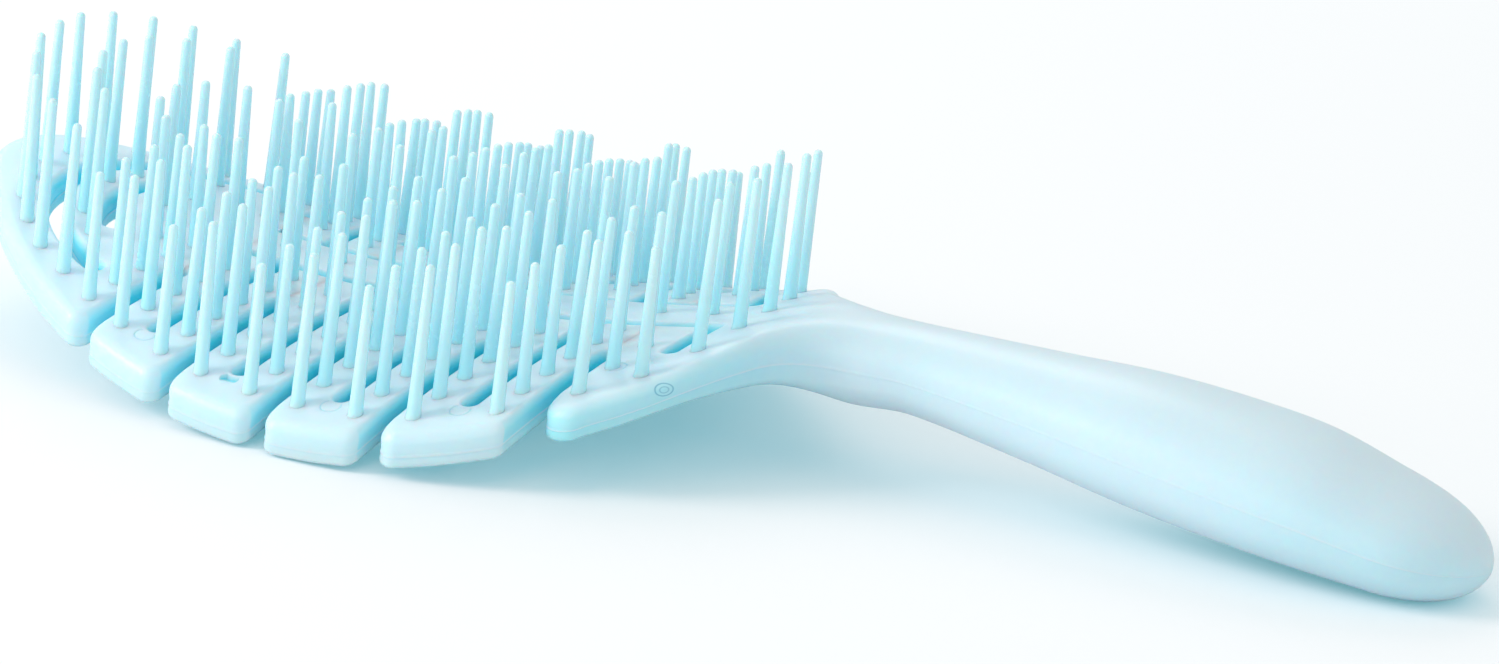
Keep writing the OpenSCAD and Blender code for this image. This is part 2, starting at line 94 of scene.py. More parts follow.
# Rows of the walls, from the pin side down: inset, depth, and angle on the oval section of the
# grip. The inset is a share of the edge's rounding, or metres beside the parting line. The depth
# counts top roundings from the top, halves of the bead from the parting line, or low roundings
# upwards from the bottom.
TOP_ROWS = [(1.25, 0.0, 64.0)] + [
    (1 - math.sin(math.radians(a)), 1 - math.cos(math.radians(a)), phi)
    for a, phi in ((0, 60.0), (18, 50.0), (36, 40.0), (54, 30.0), (72, 20.0), (90, 12.0))]
BEAD_ROWS = [(BEAD, -2, 1.6), (BEAD, -1, 0.7), (0.0, 0, 0.0), (BEAD, 1, -0.7), (BEAD, 2, -1.6)]
LOW_ROWS = [(0.65 * (1 - math.cos(math.radians(a))), 1 - math.sin(math.radians(a)), phi)
            for a, phi in ((0, -12.0), (25, -24.0), (50, -38.0), (72, -50.0), (90, -60.0))] + [
                (0.9, 0.0, -64.0)]
LINE_ROW = len(TOP_ROWS) + 2

# Painted shade: 0 is the pale plastic and 1 the deep cyan that stands in for shade in slots,
# grooves and under the plate
# Painted shade down a wall's rows: deeper from the top edge down, pale on the parting line's bead
# as a painted highlight line, lighter on the lowest rounding
ROW_SHADE = (0, 0, 0, 0.25, 0.5, 0.75, 1, 1, 1, 0, 1, 1, 1, 1, 1, 1, 0.4, 0.4)
# Painted shade by kind of wall: cut, groove, slot, outer
WALL_SHADE = np.array([0.8, 0.9, 1.0, 0.0])
LOW_SLOT_SHADE, LOW_OUTER_SHADE = 0.75, 1.3  # factors of the painted shade below the parting line, in slots and outside
OPEN_SLOT_SHADE, OPEN_REACH = 0.42, 13 * MM  # painted shade of a slot's wall at the outline, where the slot is open, and how far in it is full
# Painted shade on the outer walls: of the plate, of the wing (less towards the neck), and of the
# grip's end
PLATE_SHADE, WING_SHADE, NECK_SHADE_DROP, END_SHADE = 0.09, 0.4, 0.14, 0.12
# Painted shade on the underside, over the dimple's far half, and along the rim of an ejector mark
UNDER_SHADE, DIMPLE_SHADE, MARK_SHADE = 0.15, 0.8, 0.3
# Painted shade at the foot of a pin in the middle of the head
DEEPEST_PIN_SHADE = 0.32
FILLET_FADE, FOOT_SHADE_FADE = 14.0, 1.5  # how fast the spread foot, and the painted shade at the foot, end up the pin
CLOUD, SPECK, GRAIN = (55.0, 2.0), (900.0, 4.0), (5200.0, 2.0)  # noise: scale per metre, detail
SPECK_TONE = (0.93, 0.985, 1.0, 1.0)

# The round mark of the moulding gate on the near wing
GATE, GATE_REACH, GATE_OVAL = (0.00445, -0.02804, 0.0135), 0.018, (1.3 * MM, 1.3 * MM, 0.8 * MM)
GATE_RINGS = ((1.0, 0.75), (0.5, 0.55))
GATE_INK = (0.03, 0.36, 0.52, 1.0)

# The camera: its right, up and backward axes, and its place
CAMERA_AXES = ((0.92389, 0.3673, 0.10764), (-0.19465, 0.2089, 0.95846), (0.3295, -0.9064, 0.26442))
CAMERA_PLACE = (0.20766, -0.5583, 0.17795)

# The stage: each lamp's name, share of the key light, size and place, and the table's tones
LAMPS = (("key", 1.0, 0.6, (-0.98, -0.65, 0.60)), ("back", 0.25, 0.7, (-0.45, 0.85, 0.8)),
         ("front", 0.14, 0.8, (0.3, -1.1, 0.25)))
LIGHT_AIM = (-0.02, 0, 0.01)
TABLE_HALF = 12.0
# The camera sees the table as a diffuse part and an aqua glow that sum to white where lit; in
# shadow the glow paints the shade aqua
TABLE_LIT, TABLE_SEEN = (0.86, 0.88, 0.90, 1.0), (0.92, 0.72, 0.68, 1.0)
TABLE_GLOW = (0.08, 0.30, 0.35, 1.0)


def length(name, description, default):
    """A size of the brush, in metres."""
    return FloatProperty(name=name, description=description, default=default, min=0.0,
                         unit="LENGTH", precision=5)


def share(name, description, default):
    """A share or a factor without a unit."""
    return FloatProperty(name=name, description=description, default=default)


def colour(name, description, default):
    """A surface colour."""
    return FloatVectorProperty(name=name, description=description, default=default, size=4,
                               min=0.0, max=1.0, subtype="COLOR")


class BrushHeadSizes(bpy.types.PropertyGroup):
    """Sizes of the slotted head."""

    total_length: length("Whole length", "Leaf tip to the end of the grip", 0.212)
    head_width: length("Head width", "Greatest width across the head", 0.096)
    tip_reach: length("Tip reach", "Leaf tip to the widest place", 0.0695)
    plate: length("Plate", "Thickness of the head plate", 0.0045)
    bow_radius: length("Bow", "Radius of the lengthwise bow", 0.235)
    arch_radius: length("Arch", "Radius of the crosswise arch", 0.150)
    tip_radius: length("Tip radius", "Radius of the rounded leaf tip", 0.0243)
    wing_radius: length("Wing radius", "Radius of the outline on the grip side", 0.052)
    neck_fillet: length("Neck hollow", "Radius where the head runs into the neck", 0.012)
    rib_pitch: length("Rib pitch", "From one open slot to the next", 0.0152)
    slot_width: length("Open slot", "Width of the slots between the ribs", 0.002)
    split_width: length("Closed slot", "Width of the slot along each rib", 0.0016)
    last_slot: length("Last slot", "Widest place to the slot next to the neck", 0.0316)
    lean: share("Lean", "Lean of the slots towards the tip", 0.14)
    slot_inner: length("Slot end", "Middle to the inner end of the open slots", 0.0186)
    split_margin: length("Split margin", "Outline to the outer end of the closed slots", 0.0076)
    wing_split: length("Wing slot", "Middle to the outer end of the wing's slot", 0.0184)
    tip_corner: length("Tip-side corner", "Plan radius of a rib's corner", 0.0022)
    grip_corner: length("Grip-side corner", "Plan radius of a rib's corner", 0.0019)
    spine_width: length("Spine", "Width of the spine between its grooves", 0.0114)
    groove_width: length("Groove", "Width of the groove beside the spine", 0.0012)
    groove_reach: length("Groove reach", "Widest place to the end of the grooves", 0.0395)
    web: length("Web", "Thickness of the web under each groove", 0.0018)
    round_centre: length("Round slots", "Leaf tip to the centre of the round slots", 0.0395)
    rim_slot_radius: length("Outer round slot", "Radius of its outer wall", 0.0295)
    rim_slot_width: length("Outer slot width", "Width of the outer round slot", 0.0024)
    rim_slot_angle: share("Outer slot angle", "Half the angle it spans, in degrees", 64.0)
    tongue_slot_radius: length("Inner round slot", "Radius of its outer wall", 0.0222)
    tongue_slot_width: length("Inner slot width", "Width of the inner round slot", 0.002)
    tongue_slot_angle: share("Inner slot angle", "Half the angle it spans, in degrees", 38.0)
    edge_round: length("Edge rounding", "Rounding of the outer edges", 0.0014)
    slot_round: length("Slot rounding", "Rounding of the slot edges", 0.0008)
    groove_round: length("Groove rounding", "Rounding of the groove edges", 0.0007)


class BrushGripSizes(bpy.types.PropertyGroup):
    """Sizes of the neck and the grip."""

    grip_width: length("Grip width", "Width where the grip is widest", 0.030)
    grip_thickness: length("Grip thickness", "Thickness where the grip is thickest", 0.0166)
    neck_width: length("Neck width", "Width of the narrow neck", 0.0164)
    neck_thickness: length("Neck thickness", "Thickness of the neck", 0.0112)
    neck_height: length("Neck height", "Middle of the neck above the table", 0.0149)
    rest_flat: length("Rest flat", "Depth of the flat that the grip rests on", 0.0002)
    shoulder_round: length("Shoulder", "Rounding of the wings' outer edges", 0.0019)
    roundness: share("Section", "Two is an ellipse, more is squarer", 2.3)


class BrushPinSizes(bpy.types.PropertyGroup):
    """Sizes of the pins."""

    long_pin: length("Long pins", "Length of the long pins", 0.020)
    middle_pin: length("Middle pins", "Length of the middle pins", 0.018)
    short_pin: length("Short pins", "Length of the short pins", 0.0169)
    foot: length("Foot", "Diameter of a pin at its foot", 0.0019)
    end: length("End", "Diameter below the round end", 0.00122)
    fillet: length("Foot fillet", "How far the foot spreads into the plate", 0.0004)
    step: length("Step", "From one pin to the next in a row", 0.00565)
    side: length("Row", "Rib edge to its row of pins", 0.0026)
    outer: length("Outermost pin", "Outline to the outermost pin of a row", 0.0045)
    rim_side: length("Rim row", "Outer round slot to the pins of the rim", 0.0034)
    lean: share("Lean", "How far a pin may lean, in degrees", 0.8)
    pull: share("Pull", "Lean of all pins towards the grip, in degrees", 1.2)
    seed: IntProperty(name="Seed", description="Seed of the pins' small leans", default=7)


class BrushFinish(bpy.types.PropertyGroup):
    """Colours of the moulded plastic, and of the shade painted into it."""

    pale: colour("Pale plastic", "Faces in the open", (0.66, 0.85, 0.97, 1.0))
    # The deep cyan of the painted shade in slots, grooves, under the plate and on shaded walls
    painted_shade_colour: colour("Painted shade", "Slot walls", (0.01, 0.80, 1.0, 1.0))
    pin: colour("Pin plastic", "Pins", (0.64, 0.89, 0.99, 1.0))
    # A tint of the plastic near the moulding gate, laid only over the painted shade, so partly
    # painted shade on the wing's walls
    gate_tint_and_shade: colour("Gate tint", "Tint near the moulding gate", (0.36, 0.76, 0.78, 1.0))
    roughness: share("Roughness", "Roughness of the satin plastic", 0.36)


class BrushStage(bpy.types.PropertyGroup):
    """Camera, light and table."""

    lens: share("Lens", "Focal length on a 36 mm wide frame", 112.8)
    key: share("Key light", "Strength of the large soft light", 8.5)
    fill: share("Fill light", "Strength of the sky", 0.67)


def arc_height(radius, distance):
    """Height of a circle of that radius, at a distance from its middle."""
    return np.sqrt(np.maximum(0.0, radius * radius - np.square(distance)))


def along(a, b, t):
    """The value at share t of the way from a to b."""
    return a + (b - a) * t


def ease(x, start, end):
    """A smooth step from 0 at start to 1 at end."""
    t = np.clip((x - start) / (end - start), 0.0, 1.0)
    return t * t * (3 - 2 * t)


def curve(places, values, t):
    """Smooth curve through values at places."""
    places, values = np.array(places), np.array(values)
    slopes = np.gradient(values, places, edge_order=1)
    inner = (values[2:] - values[:-2]) / (places[2:] - places[:-2])
    slopes[1:-1] = inner
    i = np.clip(np.searchsorted(places, t, side="left") - 1, 0, len(places) - 2)
    w = places[i + 1] - places[i]
    u = (t - places[i]) / w
    v = 1 - u
    return (values[i] * v * v * (1 + 2 * u) + values[i + 1] * u * u * (1 + 2 * v)
            + w * u * v * (v * slopes[i] - u * slopes[i + 1]))


def unit(v):
    """A vector of length one."""
    return np.asarray(v, float) / np.linalg.norm(v)


def arc(centre, radius, start, end, steps):
    """Points on a circle between two angles in degrees."""
    a = np.radians(np.linspace(start, end, steps + 1))
    return np.asarray(centre) + radius * np.stack([np.cos(a), np.sin(a)], 1)


def fillet(before, corner, after, radius, steps=7):
    """Round corner of that radius between the lines to the points before and after it."""
    corner = np.asarray(corner, float)
    a, b = unit(np.subtract(before, corner)), unit(np.subtract(after, corner))
    half = math.acos(np.clip(a @ b, -1, 1)) / 2
    middle = corner + unit(a + b) * radius / math.sin(half)
    start = corner + a * radius / math.tan(half) - middle
    end = corner + b * radius / math.tan(half) - middle
    turn = math.atan2(start[0] * end[1] - start[1] * end[0], start @ end)
    angles = np.linspace(0, turn, steps + 1)
    return np.stack([middle[0] + start[0] * np.cos(angles) - start[1] * np.sin(angles),
                     middle[1] + start[0] * np.sin(angles) + start[1] * np.cos(angles)], 1)


class BrushForm:
    """The lines and surfaces that the brush's pieces share, worked out from the scene's sizes."""

    PLACES = (0, 0.08, 0.28, 0.445, 0.6, 0.72, 0.865, 1)
    WIDTHS = (0, 0, 0.34, 0.71, 0.95, 1, 0.76, 0.6)
    THICKS = (0, 0, 0.46, 0.9, 1, 0.9, 0.45, 0.4)
    SINKS = (0, 0, 0.145, 0.28, 0.43, 0.57, 0.82, 1)
    HAIRLINE = 0.005 * MM
    LOWEST = 0.1  # widest place to the bottom of the bow, as a share of the tip's reach
    ROUND_END = 0.9  # length of the grip's round end, as a share of half its width

    def __init__(self, scene):
        head, grip = scene.brush_head, scene.brush_grip
        self.head, self.grip, self.pins = head, grip, scene.brush_pins
        self.tip_x = -head.total_length / 2
        self.end_x = head.total_length / 2
        self.wide_x = self.tip_x + head.tip_reach
        self.round_x = self.tip_x + head.round_centre
        self.apex_x = self.wide_x + head.groove_reach
        self.low_x = self.wide_x - head.tip_reach * self.LOWEST
        self.half_w = head.head_width / 2
        tip_r = head.tip_radius
        self.side_r = ((head.tip_reach - tip_r) ** 2 + self.half_w ** 2 - tip_r ** 2) / (
            2 * (self.half_w - tip_r))
        self.tip_centre_x = self.tip_x + tip_r
        self.side_meets_tip_x = self.wide_x - (self.wide_x - self.tip_centre_x) * (
            self.side_r / (self.side_r - tip_r))
        self.fillet_y = grip.neck_width / 2 + head.neck_fillet
        self.wing_y = self.half_w - head.wing_radius
        both = head.wing_radius + head.neck_fillet
        self.neck_x = self.wide_x + math.sqrt(both ** 2 - (self.fillet_y - self.wing_y) ** 2)
        self.wing_meets_neck_x = self.wide_x + (self.neck_x - self.wide_x) * (
            head.wing_radius / both)
        self.root_y = head.spine_width / 2 + head.groove_width
        self.round_y = head.slot_inner + head.slot_width / 2
        near = self.wide_x + np.linspace(-0.5, 0.5, 21) * head.rib_pitch
        bow = head.bow_radius - arc_height(head.bow_radius, near - self.low_x)
        arch = arc_height(head.arch_radius - head.plate, self.side_half(near)) - head.arch_radius
        self.crown = -(bow + arch).min()
        self.fan_start_x = self.apex_x - head.groove_width
        self.end_reach = self.ROUND_END * grip.grip_width / 2
        t = np.linspace(0.25, 1, 31)
        x = along(self.neck_x, self.end_x, t)
        self.grip_sink = ((grip.neck_height + grip.rest_flat - self.grip_thick(x))
                          / self.sink(x)).min()

    def side_half(self, x):
        """Half the width of the head's outline."""
        head = self.head
        return np.where(
            x < self.side_meets_tip_x, arc_height(head.tip_radius, x - self.tip_centre_x),
            np.where(x < self.wide_x,
                     self.half_w - self.side_r + arc_height(self.side_r, x - self.wide_x),
                     np.where(x < self.wing_meets_neck_x,
                              self.wing_y + arc_height(head.wing_radius, x - self.wide_x),
                              self.fillet_y - arc_height(head.neck_fillet,
                                                         np.minimum(0, x - self.neck_x)))))

    def head_z(self, x, y, depth=0.0):
        """Height of the bowed and arched plate, at a depth below its pin side."""
        head = self.head
        r = head.bow_radius + head.arch_radius - arc_height(head.arch_radius - depth, y)
        return self.crown + head.bow_radius - arc_height(r, x - self.low_x)

    def enclosed_shade(self, p):
        """How much painted shade a slot gets: less at the outline, where it is open, and 1 further
        in.
        """
        margin = (self.side_half(p[:, 0]) - np.abs(p[:, 1])) / OPEN_REACH
        return along(OPEN_SLOT_SHADE, 1.0, np.clip(margin, 0, 1))

    def slot(self, k):
        """Middle of open slot k's round inner end, and its directions outward and gripward."""
        outward = unit((-self.head.lean, 1))
        gripward = np.array([outward[1], -outward[0]])
        x = self.edge_x(k, self.round_y, self.head.slot_width / 2)
        return np.array([x, self.round_y]), outward, gripward

    def edge_x(self, k, y, back=0.0):
        """Place on the line that lies back behind the grip-side edge of slot k.

        Slot 0, beside the wings, stands closer to the grip by half its lean up to its inner end.
        """
        head = self.head
        extra = head.slot_inner * head.lean / 2 if k == 0 else 0.0
        x = self.wide_x + head.last_slot - k * head.rib_pitch + extra
        return x - back - head.lean * np.abs(y)

    def edge_reach(self, k, back):
        """How far out that line meets the outline."""
        y = 0.0
        for _ in range(9):
            y = float(self.side_half(self.edge_x(k, y, back)))
        return y

    def meet_outline(self, start, direction):
        """Where a line from inside the head meets the outline."""
        low, high = 0.0, self.half_w
        for _ in range(40):
            s = (low + high) / 2
            p = start + s * direction
            low, high = (s, high) if p[1] < self.side_half(p[0]) else (low, s)
        return start + low * direction

    def hairline(self, k, y, side):
        """Point on the closed line inside open slot k, on its tip side (-1) or grip side (1)."""
        return np.array([self.edge_x(k, y, self.head.slot_width / 2) + side * self.HAIRLINE, y])

    def grip_share(self, x):
        """Share of the way from the neck to the grip's end."""
        return np.maximum(0.0, (x - self.neck_x) / (self.end_x - self.neck_x))

    def end_round(self, x):
        """Factor that rounds the grip off at its end."""
        return arc_height(1.0, np.maximum(0.0, (x - self.end_x) / self.end_reach + 1))

    def grip_half(self, x):
        """Half the width of the neck and grip."""
        grip = self.grip
        swell = curve(self.PLACES, self.WIDTHS, self.grip_share(x))
        return along(grip.neck_width, grip.grip_width, swell) / 2 * self.end_round(x)

    def grip_thick(self, x):
        """Half the thickness of the neck and grip."""
        grip = self.grip
        swell = curve(self.PLACES, self.THICKS, self.grip_share(x))
        return along(grip.neck_thickness, grip.grip_thickness, swell) / 2 * self.end_round(x)

    def sink(self, x):
        """How far the grip's middle line has come down, from 0 at the neck to 1."""
        return curve(self.PLACES, self.SINKS, self.grip_share(x))

    def fan(self, x):
        """0 in the head, 1 from the neck on."""
        return ease(x, self.fan_start_x, self.neck_x)

    def plate_like(self, x):
        """1 where the section is a plate with rounded edges, 0 where it is oval."""
        return 1 - ease(x, self.fan_start_x - self.head.tip_corner,
                        self.neck_x + self.grip.neck_width / 2)

    def handle_half(self, x):
        """Half the width of the outline, of the head and then of the grip."""
        return np.where(x < self.neck_x, self.side_half(x), self.grip_half(x))

    def axis_z(self, x):
        """Height of the grip's middle line."""
        return self.grip.neck_height - self.grip_sink * self.sink(x)

    def handle_top(self, x, y):
        """Height of the pin side, of the head and then of the grip."""
        return along(self.head_z(x, y), self.axis_z(x) + self.grip_thick(x), self.fan(x))

    def handle_low(self, x, y):
        """Height of the underside."""
        return along(self.head_z(x, y) - self.head.plate, self.axis_z(x) - self.grip_thick(x),
                     self.fan(x))

    def part_share(self, x):
        """Share of the thickness above the parting line."""
        return along(PARTING, GRIP_PARTING, self.fan(x))


def plan_loop(runs, turn=1):
    """A closed plan line: its points, and the kind of the edge that leaves each."""
    points, kinds = [], []
    for kind, run in runs:
        for a, b in zip(run, run[1:]):
            a, b = np.asarray(a, float), np.asarray(b, float)
            n = max(1, math.ceil(np.linalg.norm(b - a) / PLAN_STEP - 0.01))
            for i in range(n):
                points.append(along(a, b, i / n))
                kinds.append(kind)
    points, kinds = np.array(points), np.array(kinds)
    x, y = points.T
    area = (x * np.roll(y, -1) - y * np.roll(x, -1)).sum()
    if area * turn < 0:
        points, kinds = points[::-1], np.roll(kinds[::-1], -1)
    return points, kinds


def mirrored(runs):
    """The same runs on the other side of the brush, walked the other way."""
    return [(kind, (np.asarray(run) * (1, -1))[::-1]) for kind, run in reversed(runs)]


def inset_vectors(points, widths):
    """How far each corner moves when its two edges move into the material by their widths."""
    ahead = np.roll(points, -1, 0) - points
    ahead /= np.linalg.norm(ahead, axis=1)[:, None]
    normal = np.stack([-ahead[:, 1], ahead[:, 0]], 1)
    before, width_before = np.roll(normal, 1, 0), np.roll(widths, 1)
    det = before[:, 0] * normal[:, 1] - before[:, 1] * normal[:, 0]
    free = (widths > 0) & (width_before > 0)
    mean = before + normal
    mean /= np.square(mean).sum(1)[:, None] / 2
    smooth = mean * ((widths + width_before) / 2)[:, None]
    solved = np.stack([width_before * normal[:, 1] - widths * before[:, 1],
                       widths * before[:, 0] - width_before * normal[:, 0]], 1)
    flat = free | (np.abs(det) < NEARLY_STRAIGHT)
    return np.where(flat[:, None], smooth, solved / np.where(flat, 1, det)[:, None])


def inside(points, loops):
    """Which points lie inside the loops, by the number of edges that a ray crosses."""
    odd = np.zeros(len(points), bool)
    for loop in loops:
        a, b = loop, np.roll(loop, -1, 0)
        y = points[:, 1][:, None]
        crosses = (a[:, 1] > y) != (b[:, 1] > y)
        rise = np.where(b[:, 1] == a[:, 1], 1, b[:, 1] - a[:, 1])
        x = a[:, 0] + (y - a[:, 1]) / rise * (b[:, 0] - a[:, 0])
        odd ^= (crosses & (points[:, 0][:, None] < x)).sum(1) % 2 == 1
    return odd


def clear_of(points, loops, distance):
    """Which points are further than distance from the corners of the loops."""
    corners = np.concatenate(loops)
    return np.array([np.square(corners - p).sum(1).min() > distance * distance for p in points])


def grid_points(loops, step):
    """Evenly spread points inside the loops, a little away from their edges."""
    corners = np.concatenate(loops)
    low, high = corners.min(0), corners.max(0)
    rows = []
    for i, y in enumerate(np.arange(low[1], high[1], step * GRID_ROW)):
        x = np.arange(low[0] + step / 2 * (i % 2), high[0], step)
        rows.append(np.stack([x, np.full(len(x), y)], 1))
    points = np.concatenate(rows)
    points = points[inside(points, loops)]
    return points[clear_of(points, loops, step * GRID_CLEAR)]


def cap_faces(loops, extra):
    """Triangles between the loops and the extra points, turned upwards.

    They are sorted out on the rounded points that the triangulation works with.
    """
    coords = [Vector(p) for p in np.concatenate(loops + [extra]) / MM]
    points = np.array([tuple(p) for p in coords])
    edges, rounded = [], []
    start = 0
    for loop in loops:
        n = len(loop)
        edges += [(start + i, start + (i + 1) % n) for i in range(n)]
        rounded.append(points[start:start + n])
        start += n
    _, _, faces, origin, _, _ = delaunay_2d_cdt(coords, edges, [], 0, 1e-6)
    if any(not o for o in origin):
        raise RuntimeError("a cap's edges cross each other")
    ids = np.array([o[0] for o in origin])
    faces = ids[np.array(faces)]
    faces = faces[inside(points[faces].mean(1), rounded)]
    a, b, c = points[faces[:, 0]], points[faces[:, 1]], points[faces[:, 2]]
    turned = (b[:, 0] - a[:, 0]) * (c[:, 1] - a[:, 1]) < (b[:, 1] - a[:, 1]) * (c[:, 0] - a[:, 0])
    faces[turned] = faces[turned][:, ::-1]
    return faces


def closed_mesh(name, parts, material):
    """One smooth mesh from (points, faces, painted shade) parts, with its doubles merged.

    The edges along the closed cuts stay sharp, so that neighbours meet without a dark seam.
    """
    points = np.concatenate([p for p, _, _ in parts])
    tones = np.concatenate([t for _, _, t in parts])
    faces, start = [], 0
    for p, f, _ in parts:
        faces += [[start + i for i in face] for face in f]
        start += len(p)
    mesh = bpy.data.meshes.new(name)
    mesh.from_pydata(points.tolist(), [], faces)
    # Painted shade on every point, which the material turns into deeper cyan
    add_floats(mesh, "slot_share", tones)
    net = bmesh.new()
    net.from_mesh(mesh)
    bmesh.ops.remove_doubles(net, verts=net.verts, dist=MERGE)
    net.normal_update()
    for edge in net.edges:
        inner = all(v.co.x < 0 and abs(v.co.y) < CUT_REACH for v in edge.verts)
        edge.smooth = not (inner and edge.calc_face_angle(0.0) > SHARP_ANGLE)
    net.to_mesh(mesh)
    net.free()
    mesh.shade_smooth()
    mesh.materials.append(material)
    return add_object(name, mesh)


class PlateRings:
    """Rings of a piece that is a plate all over: the ribs and the leaf tip."""

    def __init__(self, form):
        self.form = form
        head = form.head
        self.widths = np.array([0.0, head.groove_round, head.slot_round, head.edge_round])
        self.low_round = LOW_ROUND * head.edge_round

    def insets(self, points, kinds):
        """How far each corner moves for the whole rounding, and for one metre on every wall."""
        return (inset_vectors(points, self.widths[kinds]),
                inset_vectors(points, (kinds != CUT).astype(float)))

    def rings(self, points, kinds):
        """The rings of the wall around a plan line, from the pin side down."""
        head = self.form.head
        rounding, wall = self.insets(points, kinds)
        rows = [(rounding * s, d * head.edge_round) for s, d, _ in TOP_ROWS]
        rows += [(wall * s, PARTING * head.plate + d * BEAD_HALF) for s, d, _ in BEAD_ROWS]
        rows += [(rounding * s, head.plate - d * self.low_round) for s, d, _ in LOW_ROWS]
        places = [(points + shift, depth) for shift, depth in rows]
        return [np.column_stack([p, self.form.head_z(p[:, 0], p[:, 1], d)]) for p, d in places]

    def cap_z(self, p, top):
        """Height of the cap inside the last ring."""
        return self.form.head_z(p[:, 0], p[:, 1], 0.0 if top else self.form.head.plate)

    def extra(self, loops):
        """Points inside a cap."""
        return grid_points(loops, CAP_STEP)

    def outer_shade(self, x):
        """How much painted shade the outer walls get."""
        return np.full(len(x), PLATE_SHADE)


class HandleRings(PlateRings):
    """Rings of the piece that runs from the flat spine and wings into the oval grip."""

    def __init__(self, form):
        super().__init__(form)
        self.widths[OUTER] = form.grip.shoulder_round
        self.power = 2 / form.grip.roundness

    def rings(self, points, kinds):
        form, head = self.form, self.form.head
        x = points[:, 0]
        outline = (kinds == OUTER) | (np.roll(kinds, 1) == OUTER)
        outline &= np.abs(points[:, 1]) > form.handle_half(x) - OUTLINE_GAP
        flat = np.where(outline, form.plate_like(x), 1.0)
        rounding, wall = self.insets(points, kinds)
        above = form.part_share(x) * head.plate
        below = (1 - form.part_share(x)) * head.plate
        rows = [(rounding * s, 1 - d * head.edge_round / above, phi, 0.0)
                for s, d, phi in TOP_ROWS]
        rows += [(wall * s, -d * BEAD_HALF / above, phi, s) for s, d, phi in BEAD_ROWS]
        rows += [(rounding * s, d * self.low_round / below - 1, phi, 0.0)
                 for s, d, phi in LOW_ROWS]
        out = []
        for shift, lift, phi, sunk in rows:
            a = math.radians(abs(phi))
            oval_lift = math.copysign(math.sin(a) ** self.power, phi) if phi else 0.0
            oval_in = 1 - math.cos(a) ** self.power
            oval_shift = np.column_stack([np.zeros(len(x)), -points[:, 1] * oval_in])
            oval_shift += wall * (sunk * form.end_round(x))[:, None]
            p = points + shift * flat[:, None] + oval_shift * (1 - flat[:, None])
            out.append(np.column_stack([p, self.lifted(p, along(oval_lift, lift, flat))]))
        return out

    def outer_shade(self, x):
        # Painted shade on the wing's walls, less at the neck and gone past it, and at the grip's
        # end
        wing = WING_SHADE - NECK_SHADE_DROP * ease(x, -8 * MM, 4 * MM)
        return wing * (1 - ease(x, 8 * MM, 24 * MM)) + END_SHADE * ease(x, 55 * MM, 100 * MM)

    def lifted(self, p, f):
        """Height at a share f of the way from the parting line to the top (1) or bottom (-1)."""
        form = self.form
        top, low = form.handle_top(p[:, 0], p[:, 1]), form.handle_low(p[:, 0], p[:, 1])
        middle = along(top, low, form.part_share(p[:, 0]))
        return np.maximum(0.0, middle + np.where(f > 0, (top - middle) * f, (middle - low) * f))

    def last_ring(self, x, row):
        """Half the width of the outline, and how much of it a cap spans: if oval, and in all."""
        form = self.form
        half = np.maximum(form.handle_half(x), 1e-6)
        oval = math.cos(math.radians(abs(row[2]))) ** self.power
        flat = row[0] * form.grip.shoulder_round / half
        return half, oval, 1 - along(1 - oval, flat, form.plate_like(x))

    def cap_z(self, p, top):
        """Height of the cap inside the last ring: flat across a plate, oval across the grip."""
        half, oval, span = self.last_ring(p[:, 0], TOP_ROWS[0] if top else LOW_ROWS[-1])
        t = np.clip(np.abs(p[:, 1]) / half * oval / span, 0, 1)
        n = self.form.grip.roundness
        f = along((1 - t ** n) ** (1 / n), 1.0, self.form.plate_like(p[:, 0]))
        return self.lifted(p, f if top else -f)

    def extra(self, loops):
        form = self.form
        head = grid_points(loops, HANDLE_CAP_STEP)
        round_x = form.end_x - form.end_reach
        x = np.concatenate([np.arange(OVAL_CAP_X + 0.8 * MM, round_x, CAP_STEP),
                            form.end_x - form.end_reach
                            * (1 - np.sin(np.linspace(0, 0.47 * math.pi, 12)))])
        half, oval, span = self.last_ring(x, TOP_ROWS[0])
        rows = []
        for angle in OVAL_CAP_ANGLES:
            t = math.cos(math.radians(angle))
            t = math.copysign(abs(t) ** self.power, t) / oval
            rows.append(np.stack([x, t * half * span], 1))
        grip = np.concatenate(rows)
        grip = grip[inside(grip, loops)]
        return np.concatenate([head[head[:, 0] < OVAL_CAP_X],
                               grip[clear_of(grip, loops, 0.25 * MM)]])


def mark_shape(points, centre, depth):
    """How far an ejector mark sinks the points of a cap, and the painted shade on them: a thin ring
    along the mark's rim, and over the far half of the dimple.
    """
    r = np.linalg.norm(points - centre, axis=1) / MARK_RADIUS
    if depth == DIMPLE_DEPTH:
        across = (points[:, 1] - centre[1]) / MARK_RADIUS
        return (depth * (r < 0.95) * np.clip(0.45 + 0.6 * across, 0, 1),
                DIMPLE_SHADE * (r < 0.95) * (across > -0.1))
    rim = np.exp(-np.square((r - 1) / 0.06))
    return depth * (rim + 0.15 * (r < 0.9)), MARK_SHADE * rim


